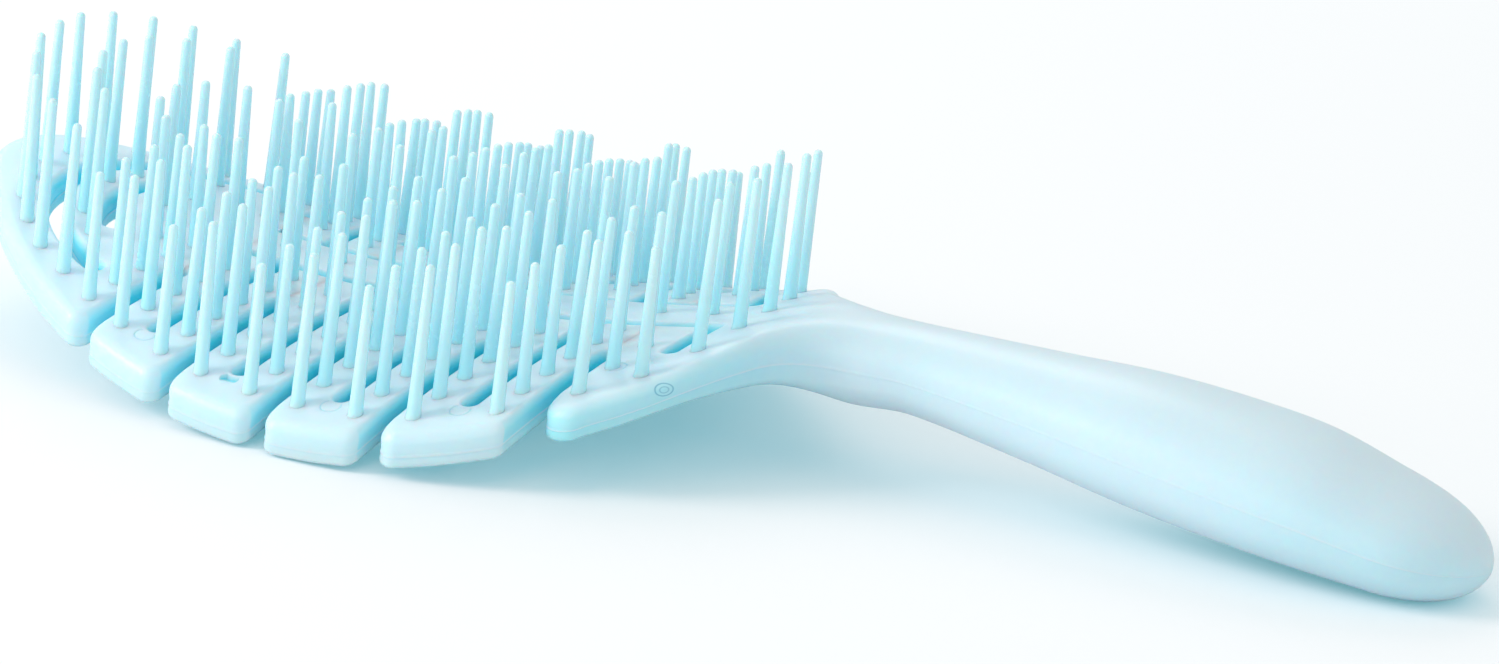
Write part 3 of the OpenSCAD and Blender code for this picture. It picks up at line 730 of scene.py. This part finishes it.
def plate_part(loops, shape, marks=()):
    """Closed solid around plan loops: walls with rounded edges and a bead, and two caps."""
    points, faces, shares, start = [], [], [], 0
    rings_of = [shape.rings(plan, kinds) for plan, kinds in loops]
    top_ids, low_ids = [], []
    count = len(ROW_SHADE)
    for (plan, kinds), rings in zip(loops, rings_of):
        n = len(plan)
        # Painted shade on each wall point: by kind of wall and row, less where a slot opens to the
        # outline, and on the outer walls
        dark = WALL_SHADE[kinds]
        dark = np.maximum(dark, np.roll(dark, 1)) * (kinds != OUTER)
        outer = shape.outer_shade(plan[:, 0]) * (kinds == OUTER)
        for j, ring in enumerate(rings):
            in_slot, outside = (LOW_SLOT_SHADE, LOW_OUTER_SHADE) if j > LINE_ROW else (1, 1)
            tone = dark * shape.form.enclosed_shade(ring) * in_slot + outer * outside
            points.append(ring)
            shares.append(tone * ROW_SHADE[j])
        for j in range(count - 1):
            a, b = start + j * n, start + (j + 1) * n
            faces += [(a + i, b + i, b + (i + 1) % n, a + (i + 1) % n) for i in range(n)]
        top_ids.append(np.arange(start, start + n))
        low_ids.append(np.arange(start + (count - 1) * n, start + count * n))
        start += count * n
    for ids, level, top in ((top_ids, 0, True), (low_ids, -1, False)):
        plans = [rings[level][:, :2] for rings in rings_of]
        pressed = marks if top else ()
        extra = shape.extra(plans)
        for centre, _ in pressed:
            away = np.linalg.norm(extra - centre, axis=1) > 1.6 * MARK_RADIUS
            rounds = [arc(centre, MARK_RADIUS * r, 0, 350, 35) for r in MARK_ROUNDS]
            extra = np.concatenate([extra[away], *rounds, [centre]])
        # The underside's cap gets a little painted shade
        z, tone = shape.cap_z(extra, top), np.full(len(extra), 0.0 if top else UNDER_SHADE)
        # Ejector marks sink the cap and paint shade along their rims and over the dimple's far half
        for centre, depth in pressed:
            sunk, mark_shade = mark_shape(extra, centre, depth)
            z, tone = z - sunk, tone + mark_shade
        table = np.concatenate(ids + [np.arange(start, start + len(extra))])
        triangles = table[cap_faces(plans, extra)]
        faces += (triangles if top else triangles[:, ::-1]).tolist()
        points.append(np.column_stack([extra, z]))
        shares.append(tone)
        start += len(extra)
    return np.concatenate(points), faces, np.concatenate(shares)


def slot_quarter(form, k, side):
    """Quarter circle at slot k's inner end, from the hairline to the slot's edge on one side."""
    centre, outward, gripward = form.slot(k)
    r = form.head.slot_width / 2
    a = np.radians(np.linspace(0, 90, 7))[:, None]
    points = centre - r * np.cos(a) * outward + side * r * np.sin(a) * gripward
    points[0] += side * form.HAIRLINE * gripward
    return points


def open_edge(form, k, side):
    """Edge of open slot k on one side: its inner end and where it meets the outline."""
    centre, outward, gripward = form.slot(k)
    start = centre + side * form.head.slot_width / 2 * gripward
    return start, form.meet_outline(start, outward)


def outline_run(form, x0, x1):
    """Points on the head's outline between two places."""
    x = np.linspace(x0, x1, max(2, math.ceil(abs(x1 - x0) / OUTLINE_STEP)))
    return np.stack([x, form.side_half(x)], 1)


def near_outline(form, corner, ahead):
    """Point on the outline a little ahead of a corner."""
    x = corner[0] + ahead
    return np.array([x, float(form.side_half(x))])


def rib_mid(form, k, y):
    """Point on the middle line of rib k."""
    x = (form.edge_x(k, y) + form.edge_x(k - 1, y, form.head.slot_width)) / 2
    return np.array([x, y])


def split_reach(form, k):
    """Outer end of rib k's closed slot."""
    head = form.head
    return (form.edge_reach(k, 0) + form.edge_reach(k - 1, head.slot_width)) / 2 - head.split_margin


def slot_end(root, end, width):
    """A closed slot's direction, half its width, and its round end, from its root and its end."""
    out = unit(end - root)
    across = np.array([out[1], -out[0]]) * width / 2
    turn = np.radians(np.linspace(0, 180, 11))[:, None]
    return out, across, end + across * np.cos(turn) + out * width / 2 * np.sin(turn)


def rib_runs(form, k):
    """Plan of rib k on the left, from the root of its tip side."""
    head = form.head
    tip_start, tip_corner = open_edge(form, k, 1)
    grip_start, grip_corner = open_edge(form, k - 1, -1)
    a = fillet(tip_start, tip_corner, near_outline(form, tip_corner, MM), head.tip_corner)
    b = fillet(near_outline(form, grip_corner, -MM), grip_corner, grip_start, head.grip_corner)
    between = outline_run(form, a[-1][0] + OUTLINE_GAP, b[0][0] - OUTLINE_GAP)
    end = rib_mid(form, k, split_reach(form, k))
    root = rib_mid(form, k, form.root_y)
    _, across, round_end = slot_end(root, end, head.split_width)
    root_tip, root_grip = form.hairline(k, form.root_y, 1), form.hairline(k - 1, form.root_y, -1)
    arm_grip = fillet(root_grip, root + across, end + across, ARM_ROUND, 5)
    arm_tip = fillet(end - across, root - across, root_tip, ARM_ROUND, 5)
    return [
        (CUT, [root_tip, slot_quarter(form, k, 1)[0]]),
        (SLOT, [*slot_quarter(form, k, 1), a[0]]),
        (OUTER, [*a, *between, *b]),
        (SLOT, [b[-1], *slot_quarter(form, k - 1, -1)[::-1]]),
        (CUT, [slot_quarter(form, k - 1, -1)[0], root_grip]),
        (GROOVE, [root_grip, *arm_grip]),
        (SLOT, [arm_grip[-1], *round_end, arm_tip[0]]),
        (GROOVE, [*arm_tip, root_tip]),
    ]


def web_part(form, k, side):
    """The two thin webs at the foot of rib k, under the groove."""
    head = form.head
    inner = head.spine_width / 2 + 0.02 * MM
    outer = form.root_y + head.groove_width / 2
    middle = rib_mid(form, k, form.root_y)[0]
    margin = head.web / 3
    gap = head.split_width / 2 + margin
    spans = ((form.edge_x(k, form.root_y, head.slot_width / 2) + margin, middle - gap),
             (middle + gap, form.edge_x(k - 1, form.root_y, head.slot_width / 2) - margin))
    low = head.plate - head.web / 6
    high = low - head.web
    points, faces = [], []
    for x0, x1 in spans:
        start = len(points)
        sections = np.linspace(x0, x1, 5)
        for x in sections:
            for y, d in ((inner, high), (outer, high), (outer, low), (inner, low)):
                points.append((x, side * y, float(form.head_z(x, y, d))))
        quads = [(4 * i + j, 4 * i + (j + 1) % 4, 4 * i + 4 + (j + 1) % 4, 4 * i + 4 + j)
                 for i in range(len(sections) - 1) for j in range(4)]
        quads += [(3, 2, 1, 0), tuple(4 * (len(sections) - 1) + j for j in range(4))]
        if side == LEFT:
            quads = [q[::-1] for q in quads]
        faces += [tuple(start + i for i in q) for q in quads]
    # The webs, deep in the grooves, get full painted shade
    return np.array(points), faces, np.full(len(points), 1.0)


def leaf_runs(form):
    """Plan of the leaf tip's left half, from the middle of its grip side."""
    head = form.head
    start, corner = open_edge(form, RIBS, -1)
    a = fillet(start, corner, near_outline(form, corner, -MM), head.grip_corner)
    tip_side = outline_run(form, a[-1][0] - OUTLINE_GAP, form.side_meets_tip_x)
    angle = math.degrees(math.acos((form.side_meets_tip_x - form.tip_centre_x) / head.tip_radius))
    tip = arc((form.tip_centre_x, 0), head.tip_radius, angle, 180, 26)
    quarter = slot_quarter(form, RIBS, -1)
    return [
        (CUT, [form.hairline(RIBS, 0.0, -1), quarter[0]]),
        (SLOT, [*quarter, a[0]]),
        (OUTER, [*a, *tip_side[:-1], *tip]),
    ]


def round_slot(form, radius, width, half_angle):
    """Plan of a round slot with round ends in the leaf tip."""
    centre = np.array([form.round_x, 0.0])
    steps = max(24, int(radius * math.radians(half_angle) * 2 / (1.3 * MM)))
    outer = arc(centre, radius, 180 - half_angle, 180 + half_angle, steps)
    inner = arc(centre, radius - width, 180 + half_angle, 180 - half_angle, steps)
    ends = []
    for a, turn in ((180 + half_angle, 1), (180 - half_angle, -1)):
        middle = arc(centre, radius - width / 2, a, a, 1)[0]
        first = a if turn == 1 else a + 180
        ends.append(arc(middle, width / 2, first, first + 180, 10)[1:-1])
    return plan_loop([(SLOT, [*outer, *ends[0], *inner, *ends[1], outer[0]])], -1)


def handle_runs(form):
    """Plan of the handle's left half, from the grip's end by the wing to the spine's end."""
    head = form.head
    start, corner = open_edge(form, 0, 1)
    bend = fillet(near_outline(form, corner, MM), corner, start,
                  WING_BEND * form.grip.shoulder_round)
    x = np.concatenate([
        form.end_x - form.end_reach * (1 - np.sin(np.linspace(math.pi / 2, 0, 22))),
        np.arange(form.end_x - form.end_reach - CAP_STEP, form.neck_x, -CAP_STEP),
        np.arange(form.neck_x, bend[0][0] + NECK_GAP, -NECK_STEP)])
    outline = np.stack([x, form.handle_half(x)], 1)
    outline[0] = (form.end_x, 0.0)
    quarter = slot_quarter(form, 0, 1)
    root = form.hairline(0, form.root_y, 1)
    groove_y = (head.spine_width + head.groove_width) / 2
    apex = np.array([form.apex_x - head.groove_width / 2, groove_y])
    end = apex + np.array([-head.lean * (head.wing_split - groove_y),
                           head.wing_split - head.split_width / 2 - groove_y])
    out, across, round_end = slot_end(apex, end, head.split_width)
    arm = apex - across + out * (form.root_y - (apex - across)[1]) / out[1]
    spine_y = head.spine_width / 2
    bottom = apex + across + out * (spine_y - (apex + across)[1]) / out[1]
    arm_bend = fillet(root, arm, round_end[-1], ARM_ROUND, 5)
    end_bend = fillet(round_end[0], bottom, (0.0, spine_y), SPINE_ROUND, 6)
    tip = form.hairline(RIBS, spine_y, 1)
    return [
        (OUTER, [*outline, *bend]),
        (SLOT, [bend[-1], *quarter[::-1]]),
        (CUT, [quarter[0], root]),
        (GROOVE, [root, *arm_bend]),
        (SLOT, [arm_bend[-1], *round_end[::-1], end_bend[0]]),
        (GROOVE, [*end_bend, tip]),
        (CUT, [tip, form.hairline(RIBS, 0.0, 1)]),
    ]


def pin_places(form):
    """Place and length of every pin, by the CAD node that it belongs to."""
    head, pins = form.head, form.pins
    behind = head.slot_width + pins.side
    row_end = form.root_y + pins.foot

    def pin(k, side, y, back, size):
        """A pin at y on one side, back behind the grip-side edge of slot k."""
        return form.edge_x(k, y, back), side * y, size

    def ring(radius, first, count, size, sign=1):
        """Pins around the round slots, counted from the leaf's tip."""
        step = RING_SPREAD * pins.step / radius
        turns = [math.pi - sign * (first + i) * step for i in range(count)]
        return [(form.round_x + radius * math.cos(a), radius * math.sin(a), size) for a in turns]

    places = {}
    rim = head.rim_slot_radius + pins.rim_side
    for side_name, side in SIDES.items():
        for k in range(1, RIBS + 1):
            long_count = 3 if k == 1 else 4
            for row, slot, back in (("long", k, -pins.side), ("short", k - 1, behind)):
                start = form.edge_reach(slot, back) - pins.outer
                count = 1 + math.floor((start - row_end) / pins.step)
                sizes = [pins.short_pin] * count
                if row == "long":
                    sizes = [pins.long_pin] * long_count + [pins.middle_pin] * count
                places[f"{side_name}_rib_{k}_{row}_pins"] = [
                    pin(slot, side, start - i * pins.step, back, sizes[i]) for i in range(count)]
        start = form.edge_reach(RIBS, behind) - pins.outer
        places[f"{side_name}_tip_row_pins"] = [
            pin(RIBS, side, start - i * pins.step, behind, pins.short_pin) for i in range(5)]
        out = form.edge_reach(0, -pins.side) - WING_SPREAD * pins.outer
        places[f"{side_name}_wing_pins"] = [
            pin(0, side, out - i * WING_SPREAD * pins.step, -pins.side,
                pins.middle_pin if i else pins.long_pin) for i in range(3)]
        places[f"{side_name}_wing_pins"].append(
            pin(0, side, out - pins.step, -3 * pins.side, pins.short_pin))
        places[f"{side_name}_rim_pins"] = ring(rim, 0.5, 6, pins.long_pin, side)
    strip = (head.rim_slot_radius - head.rim_slot_width + head.tongue_slot_radius) / 2
    places["strip_pins"] = ring(strip, -3, 7, pins.long_pin)
    tongue = head.tongue_slot_radius - head.tongue_slot_width - pins.rim_side - pins.foot / 2
    places["tongue_pins"] = ring(tongue, -2, 5, pins.short_pin)
    places["spine_pins"] = [pin(slot, 1, 0.0, back, pins.middle_pin) for k in range(1, RIBS + 1)
                            for slot, back in ((k, -pins.side), (k - 1, behind))]
    places["spine_pins"].append((form.apex_x - pins.side - head.groove_width, 0.0, pins.middle_pin))
    places["neck_pins"] = [(form.apex_x + NECK_SPREAD * pins.side - i * i * pins.foot / 3,
                            i * NECK_SPREAD * pins.step, pins.long_pin) for i in range(-2, 3)]
    return places


class Wire:
    """A value in a node tree. Sums and products of wires add their Math nodes."""

    def __init__(self, net, socket):
        self.net, self.socket = net, socket

    def maths(self, operation, *values):
        """Adds a Math node."""
        return self.net.wire("ShaderNodeMath", dict(enumerate(values)), operation=operation)

    def __add__(self, other):
        return self.maths("ADD", self, other)

    def __sub__(self, other):
        return self.maths("SUBTRACT", self, other)

    def __rsub__(self, other):
        return self.maths("SUBTRACT", other, self)

    def __mul__(self, other):
        return self.maths("MULTIPLY", self, other)

    def __truediv__(self, other):
        return self.maths("DIVIDE", self, other)

    __radd__ = __add__
    __rmul__ = __mul__

    def clamped(self):
        """The value kept between 0 and 1."""
        return self.maths("MAXIMUM", self.maths("MINIMUM", self, 1.0), 0.0)

    def absolute(self):
        return self.maths("ABSOLUTE", self)

    def sine(self):
        return self.maths("SINE", self)

    def cosine(self):
        return self.maths("COSINE", self)


class Net:
    """A node tree that is written as calls."""

    def __init__(self, tree):
        self.tree = tree

    def node(self, kind, inputs=None, **settings):
        """Adds a node, sets it up, then sets or links its sockets by name or number."""
        node = self.tree.nodes.new(kind)
        for key, value in settings.items():
            setattr(node, key, value)
        for key, value in (inputs or {}).items():
            if isinstance(value, Wire):
                self.tree.links.new(value.socket, node.inputs[key])
            else:
                node.inputs[key].default_value = value
        return node

    def wire(self, kind, inputs=None, output=0, **settings):
        """Adds a node and returns one of its outputs."""
        return Wire(self, self.node(kind, inputs, **settings).outputs[output])

    def vector(self, operation, *values, output=0):
        """Adds a Vector Math node."""
        return self.wire("ShaderNodeVectorMath", dict(enumerate(values)), output,
                         operation=operation)

    def mix(self, factor, a, b):
        """Mixes two colours."""
        return self.wire("ShaderNodeMix", {0: factor, 6: a, 7: b}, 2, data_type="RGBA")

    def noise(self, place, scale, detail):
        """Fractal noise at a scale per metre."""
        return self.wire("ShaderNodeTexNoise", {"Vector": place, "Scale": scale, "Detail": detail})

    def attribute(self, name):
        """Reads a number that the geometry carries."""
        return self.wire("GeometryNodeInputNamedAttribute", {"Name": name}, data_type="FLOAT")

    def store(self, geometry, name, value):
        """Writes a number onto the geometry's points."""
        return self.wire("GeometryNodeStoreNamedAttribute",
                         {"Geometry": geometry, "Name": name, "Value": value}, data_type="FLOAT")


def new_net(owner):
    """The emptied node tree of a new material or world."""
    owner.use_nodes = True
    owner.node_tree.nodes.clear()
    return Net(owner.node_tree)


def gate_tone(net, tone, place, inner, tint):
    """Adds a tint around the moulding gate, only where the painted shade lies, so it also deepens
    the painted shade on the wing's walls there; and the gate's two oval rings.
    """
    near = (1.0 - net.vector("DISTANCE", place, GATE, output="Value") / GATE_REACH).clamped()
    # The gate's tint, only where there is painted shade
    tone = net.mix(near * (inner * 3.0).clamped() * 0.6, tone, tuple(tint))
    oval = net.vector("DIVIDE", net.vector("SUBTRACT", place, GATE), GATE_OVAL)
    away = net.vector("LENGTH", oval, output="Value")
    for ring, strength in GATE_RINGS:
        line = (1.0 - (away - ring).absolute() * 7.0).clamped()
        tone = net.mix(line * strength, tone, GATE_INK)
    return tone


def plastic(scene, name, pale, attribute, gloss=0.0, glow=0.004, gate=False):
    """Satin moulded plastic that lets some light in, with painted shade: deeper cyan in its slots,
    grooves and on shaded walls.
    """
    material = bpy.data.materials.get(name)
    if material:
        return material
    finish = scene.brush_finish
    material = bpy.data.materials.new(name)
    net = new_net(material)
    place = net.wire("ShaderNodeTexCoord", output="Object")
    inner = net.wire("ShaderNodeAttribute", output="Fac", attribute_name=attribute)
    cloud, speck, grain = (net.noise(place, *kind) for kind in (CLOUD, SPECK, GRAIN))
    # Painted shade read from the geometry, with random clouds of deeper tone
    depth = (inner * 0.92 + (cloud - 0.5) * 0.10).clamped()
    tone = net.mix(depth, tuple(getattr(finish, pale)), tuple(finish.painted_shade_colour))
    if gate:
        tone = gate_tone(net, tone, place, inner, finish.gate_tint_and_shade)
    tone = net.mix((speck * 0.14).clamped(), tone, SPECK_TONE)
    rough = (finish.roughness - gloss) + (speck - 0.5) * 0.16 + (cloud - 0.5) * 0.10
    bump = net.wire("ShaderNodeBump", {"Strength": 0.12, "Distance": 0.00002,
                                       "Height": grain + speck * 1.5})
    shader = net.wire("ShaderNodeBsdfPrincipled", {
        "Base Color": tone, "Roughness": rough, "Normal": bump, "IOR": 1.48,
        "Subsurface Weight": 0.7, "Subsurface Radius": (0.15, 0.8, 1.0),
        "Subsurface Scale": glow}, subsurface_method="RANDOM_WALK")
    net.node("ShaderNodeOutputMaterial", {"Surface": shader})
    return material


def head_plastic(scene):
    return plastic(scene, "satin_head_plastic", "pale", "slot_share")


def handle_plastic(scene):
    return plastic(scene, "satin_handle_plastic", "pale", "slot_share", gate=True)


def pin_plastic(scene):
    return plastic(scene, "glossy_pin_plastic", "pin", "pin_foot", gloss=0.12, glow=0.0015)


def pin_tree(pins, material):
    """Geometry Nodes tree that stands a slim tapered pin with a round end on each point."""
    tree = bpy.data.node_groups.new("Brush pins", "GeometryNodeTree")
    sizes = {"Foot radius": pins.foot / 2, "End radius": pins.end / 2, "Foot fillet": pins.fillet,
             "Longest": pins.long_pin, "Sink": PIN_SINK, "Lean": math.radians(pins.lean),
             "Pull": math.radians(pins.pull)}
    sockets = [("Geometry", "Geometry", None), *((name, "Float", sizes[name]) for name in sizes),
               ("Seed", "Int", pins.seed)]
    for name, kind, value in sockets:
        socket = tree.interface.new_socket(name, in_out="INPUT", socket_type="NodeSocket" + kind)
        if value is not None:
            socket.default_value = value
    tree.interface.new_socket("Geometry", in_out="OUTPUT", socket_type="NodeSocketGeometry")
    net = Net(tree)
    given = net.node("NodeGroupInput")
    value = {socket.name: Wire(net, socket) for socket in given.outputs if socket.name}
    blank = net.wire("GeometryNodeMeshCylinder",
                     {"Vertices": PIN_CORNERS, "Side Segments": PIN_ROWS, "Fill Segments": 1,
                      "Radius": 1.0, "Depth": 1.0}, fill_type="TRIANGLE_FAN")
    split = net.node("ShaderNodeSeparateXYZ", {0: net.wire("GeometryNodeInputPosition")})
    x, y, z = (Wire(net, s) for s in split.outputs)
    u = z + 0.5
    dome_from = 1 - DOME_ROWS / PIN_ROWS
    dome = ((u - dome_from) / (1 - dome_from)).clamped() * DOME_ANGLE
    shaft = (u / dome_from).clamped()
    up = shaft * shaft
    foot, end = value["Foot radius"], value["End radius"]
    spread = (1.0 - up * FILLET_FADE).clamped()
    radius = (foot + (end - foot) * up + value["Foot fillet"] * spread * spread) * dome.cosine()
    height = up * (value["Longest"] - end + value["Sink"]) + end * dome.sine() - value["Sink"]
    moved = net.wire("ShaderNodeCombineXYZ", {0: x * radius, 1: y * radius, 2: height})
    # Painted shade at the foot of each pin, fading up the pin
    foot_shade = net.store(blank, "pin_foot", (1.0 - up * FOOT_SHADE_FADE).clamped())
    pin = net.wire("GeometryNodeSetPosition", {"Geometry": foot_shade, "Position": moved})
    stretch = net.wire("ShaderNodeCombineXYZ",
                       {0: 1.0, 1: 1.0, 2: net.attribute("pin_length") / value["Longest"]})
    lean = value["Lean"]
    turns = [net.wire("FunctionNodeRandomValue",
                      {2: lean * -1.0, 3: lean, "Seed": value["Seed"] + offset}, 1,
                      data_type="FLOAT") for offset in (0, 1)]
    turn = net.wire("ShaderNodeCombineXYZ", {0: turns[0], 1: turns[1] + value["Pull"], 2: 0.0})
    standing = net.wire("GeometryNodeInstanceOnPoints",
                        {"Points": value["Geometry"], "Instance": pin, "Rotation": turn,
                         "Scale": stretch})
    real = net.wire("GeometryNodeRealizeInstances", {"Geometry": standing})
    # Deeper painted shade at the feet of pins further inside the head
    shaded_pins = net.store(real, "pin_foot", net.attribute("pin_foot") * net.attribute("pin_inner"))
    smooth = net.wire("GeometryNodeSetShadeSmooth", {"Geometry": shaded_pins})
    done = net.wire("GeometryNodeSetMaterial", {"Geometry": smooth, "Material": material})
    net.node("NodeGroupOutput", {0: done})
    return tree, sizes


def add_floats(mesh, name, values):
    """Stores a number on each point of a mesh."""
    mesh.attributes.new(name, "FLOAT", "POINT").data.foreach_set(
        "value", values.astype(np.float32))


def add_object(name, data):
    """Puts a mesh, a lamp or a camera in the scene."""
    thing = bpy.data.objects.new(name, data)
    bpy.context.scene.collection.objects.link(thing)
    return thing


def pin_mesh(name, places, surface, inner, tree, sizes):
    """Runs the pin tree on a set of places and returns the result as a plain mesh object."""
    places = np.array(places)
    carrier = bpy.data.meshes.new(name + "_places")
    z = surface(places[:, 0], places[:, 1])
    carrier.from_pydata(np.column_stack([places[:, :2], z]).tolist(), [], [])
    add_floats(carrier, "pin_length", places[:, 2])
    # How much painted shade a pin's foot gets, more further inside the head
    add_floats(carrier, "pin_inner", inner(places) * DEEPEST_PIN_SHADE)
    stand = add_object(name + "_places", carrier)
    modifier = stand.modifiers.new("Pins", "NODES")
    modifier.node_group = tree
    for item in tree.interface.items_tree:
        if item.in_out == "INPUT" and item.name in sizes:
            modifier[item.identifier] = sizes[item.name]
    graph = bpy.context.evaluated_depsgraph_get()
    mesh = bpy.data.meshes.new_from_object(stand.evaluated_get(graph), depsgraph=graph)
    mesh.name = name
    bpy.data.objects.remove(stand)
    bpy.data.meshes.remove(carrier)
    return add_object(name, mesh)


class BRUSH_OT_ribs(bpy.types.Operator):
    """Eight slotted ribs, each on its own flexing body."""

    bl_idname = "brush.ribs"
    bl_label = "Ribs"

    def execute(self, context):
        form = BrushForm(context.scene)
        material = head_plastic(context.scene)
        shape = PlateRings(form)
        for side_name, side in SIDES.items():
            for k in range(1, RIBS + 1):
                runs = rib_runs(form, k)
                if side == RIGHT:
                    runs = mirrored(runs)
                mark = rib_mid(form, k, split_reach(form, k) + MARK_PAST_SLOT) * (1, side)
                depth = DIMPLE_DEPTH if (k, side) == DIMPLED_RIB else MARK_DEPTH
                part = plate_part([plan_loop(runs)], shape, [(mark, depth)])
                node = f"{side_name}_rib_{k}"
                piece = closed_mesh(f"{side_name}_slotted_rib_{k}",
                                    [part, web_part(form, k, side)], material)
                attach(piece, node)
                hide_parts(node)
        return {"FINISHED"}


class BRUSH_OT_leaf_tip(bpy.types.Operator):
    """Leaf-shaped tip with its two round slots."""

    bl_idname = "brush.leaf_tip"
    bl_label = "Leaf tip"

    def execute(self, context):
        form = BrushForm(context.scene)
        head = form.head
        runs = leaf_runs(form)
        loops = [plan_loop(runs + mirrored(runs)),
                 round_slot(form, head.rim_slot_radius, head.rim_slot_width, head.rim_slot_angle),
                 round_slot(form, head.tongue_slot_radius, head.tongue_slot_width,
                            head.tongue_slot_angle)]
        piece = closed_mesh("leaf_shaped_tip", [plate_part(loops, PlateRings(form))],
                            head_plastic(context.scene))
        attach(piece, "leaf_tip")
        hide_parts("leaf_tip")
        return {"FINISHED"}


class BRUSH_OT_handle(bpy.types.Operator):
    """Spine, wings, neck and grip in one moulding."""

    bl_idname = "brush.handle"
    bl_label = "Handle and spine"

    def execute(self, context):
        form = BrushForm(context.scene)
        runs = handle_runs(form)
        loop = plan_loop(runs + mirrored(runs))
        marks = [(np.array(WING_MARK) * (1, side), MARK_DEPTH) for side in SIDES.values()]
        piece = closed_mesh("spine_neck_and_grip", [plate_part([loop], HandleRings(form), marks)],
                            handle_plastic(context.scene))
        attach(piece, "root")
        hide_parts("handle", "spine")
        return {"FINISHED"}


class BRUSH_OT_pins(bpy.types.Operator):
    """Slim pins with round ends, one mesh on each body."""

    bl_idname = "brush.pins"
    bl_label = "Pins"

    def execute(self, context):
        form = BrushForm(context.scene)
        tree, sizes = pin_tree(form.pins, pin_plastic(context.scene))
        places = pin_places(form)
        bodies = frame["record"]["behaviour"]["bodies"]
        for number, (body, nodes) in enumerate(sorted(bodies.items())):
            names = [node for node in nodes if node.endswith("_pins")]
            if not names:
                raise RuntimeError(f"body {body} has no pins")
            spots = [spot for node in names for spot in places[node]]
            surface = form.handle_top if body == "root" else form.head_z
            piece = pin_mesh(f"{body}_row_of_pins", spots, surface, form.enclosed_shade, tree,
                             {**sizes, "Seed": form.pins.seed + number})
            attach(piece, body)
            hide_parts(*names)
        return {"FINISHED"}


class BRUSH_OT_stage(bpy.types.Operator):
    """Table, soft light and the camera."""

    bl_idname = "brush.stage"
    bl_label = "Stage"

    def execute(self, context):
        scene, stage = context.scene, context.scene.brush_stage
        scene.view_settings.view_transform = "Standard"
        self.table()
        self.light(scene, stage)
        camera = bpy.data.cameras.new("camera")
        camera.lens, camera.sensor_width, camera.sensor_fit = stage.lens, 36.0, "HORIZONTAL"
        camera.clip_end = 20.0
        seat = add_object("camera", camera)
        turn = Matrix(CAMERA_AXES).transposed().to_quaternion().to_matrix().to_4x4()
        seat.matrix_world = Matrix.Translation(CAMERA_PLACE) @ turn
        scene.camera = seat
        return {"FINISHED"}

    def table(self):
        """A white table whose shadows the camera sees in pale aqua, a painted tint from a glow that
        only camera rays see.
        """
        mesh = bpy.data.meshes.new("table_top")
        corners = ((-1, -1, 0), (1, -1, 0), (1, 1, 0), (-1, 1, 0))
        mesh.from_pydata([TABLE_HALF * Vector(p) for p in corners], [], [(0, 1, 2, 3)])
        material = bpy.data.materials.new("table_white")
        net = new_net(material)
        matt = net.wire("ShaderNodeBsdfDiffuse", {"Color": TABLE_LIT})
        soft = net.wire("ShaderNodeBsdfDiffuse", {"Color": TABLE_SEEN})
        glow = net.wire("ShaderNodeEmission", {"Color": TABLE_GLOW, "Strength": 1.0})
        seen = net.wire("ShaderNodeAddShader", {0: soft, 1: glow})
        camera_ray = net.wire("ShaderNodeLightPath", output="Is Camera Ray")
        both = net.wire("ShaderNodeMixShader", {0: camera_ray, 1: matt, 2: seen})
        net.node("ShaderNodeOutputMaterial", {"Surface": both})
        mesh.materials.append(material)
        add_object("table_top", mesh)

    def light(self, scene, stage):
        """A white sky, dimmer as a light than it looks, and three large soft lamps."""
        scene.world = bpy.data.worlds.new("studio")
        net = new_net(scene.world)
        camera_ray = net.wire("ShaderNodeLightPath", output="Is Camera Ray")
        strength = camera_ray * (1 - stage.fill) + stage.fill
        sky = net.wire("ShaderNodeBackground",
                       {"Color": (1.0, 1.0, 1.0, 1.0), "Strength": strength})
        net.node("ShaderNodeOutputWorld", {"Surface": sky})
        for name, power, size, spot in LAMPS:
            lamp = bpy.data.lights.new(name, "AREA")
            lamp.shape, lamp.size, lamp.energy = "DISK", size, stage.key * power
            turn = (Vector(LIGHT_AIM) - Vector(spot)).to_track_quat("-Z", "Y").to_matrix().to_4x4()
            add_object(name, lamp).matrix_world = Matrix.Translation(spot) @ turn


class BRUSH_PT_panel(bpy.types.Panel):
    """Buttons for the brush's pieces."""

    bl_idname = "BRUSH_PT_panel"
    bl_label = "Detangling brush"
    bl_space_type = "VIEW_3D"
    bl_region_type = "UI"
    bl_category = "Brush"

    def draw(self, context):
        for operator in OPERATORS:
            self.layout.operator(operator.bl_idname)
        for name in GROUPS:
            group = getattr(context.scene, name)
            box = self.layout.box()
            for key in group.bl_rna.properties.keys():
                if key not in ("rna_type", "name"):
                    box.prop(group, key)


GROUPS = {"brush_head": BrushHeadSizes, "brush_grip": BrushGripSizes, "brush_pins": BrushPinSizes,
          "brush_finish": BrushFinish, "brush_stage": BrushStage}
OPERATORS = (BRUSH_OT_ribs, BRUSH_OT_leaf_tip, BRUSH_OT_handle, BRUSH_OT_pins, BRUSH_OT_stage)


def register():
    """Registers the classes and the scene's sizes."""
    for cls in (*GROUPS.values(), *OPERATORS, BRUSH_PT_panel):
        bpy.utils.register_class(cls)
    for name, cls in GROUPS.items():
        setattr(bpy.types.Scene, name, PointerProperty(type=cls))


def unregister():
    """Takes the classes and the scene's sizes away again."""
    for name in GROUPS:
        delattr(bpy.types.Scene, name)
    for cls in reversed((*GROUPS.values(), *OPERATORS, BRUSH_PT_panel)):
        bpy.utils.unregister_class(cls)


def main():
    """Builds the dressed brush."""
    register()
    bpy.ops.brush.ribs()
    bpy.ops.brush.leaf_tip()
    bpy.ops.brush.handle()
    bpy.ops.brush.pins()
    bpy.ops.brush.stage()


if __name__ == "__main__":
    main()
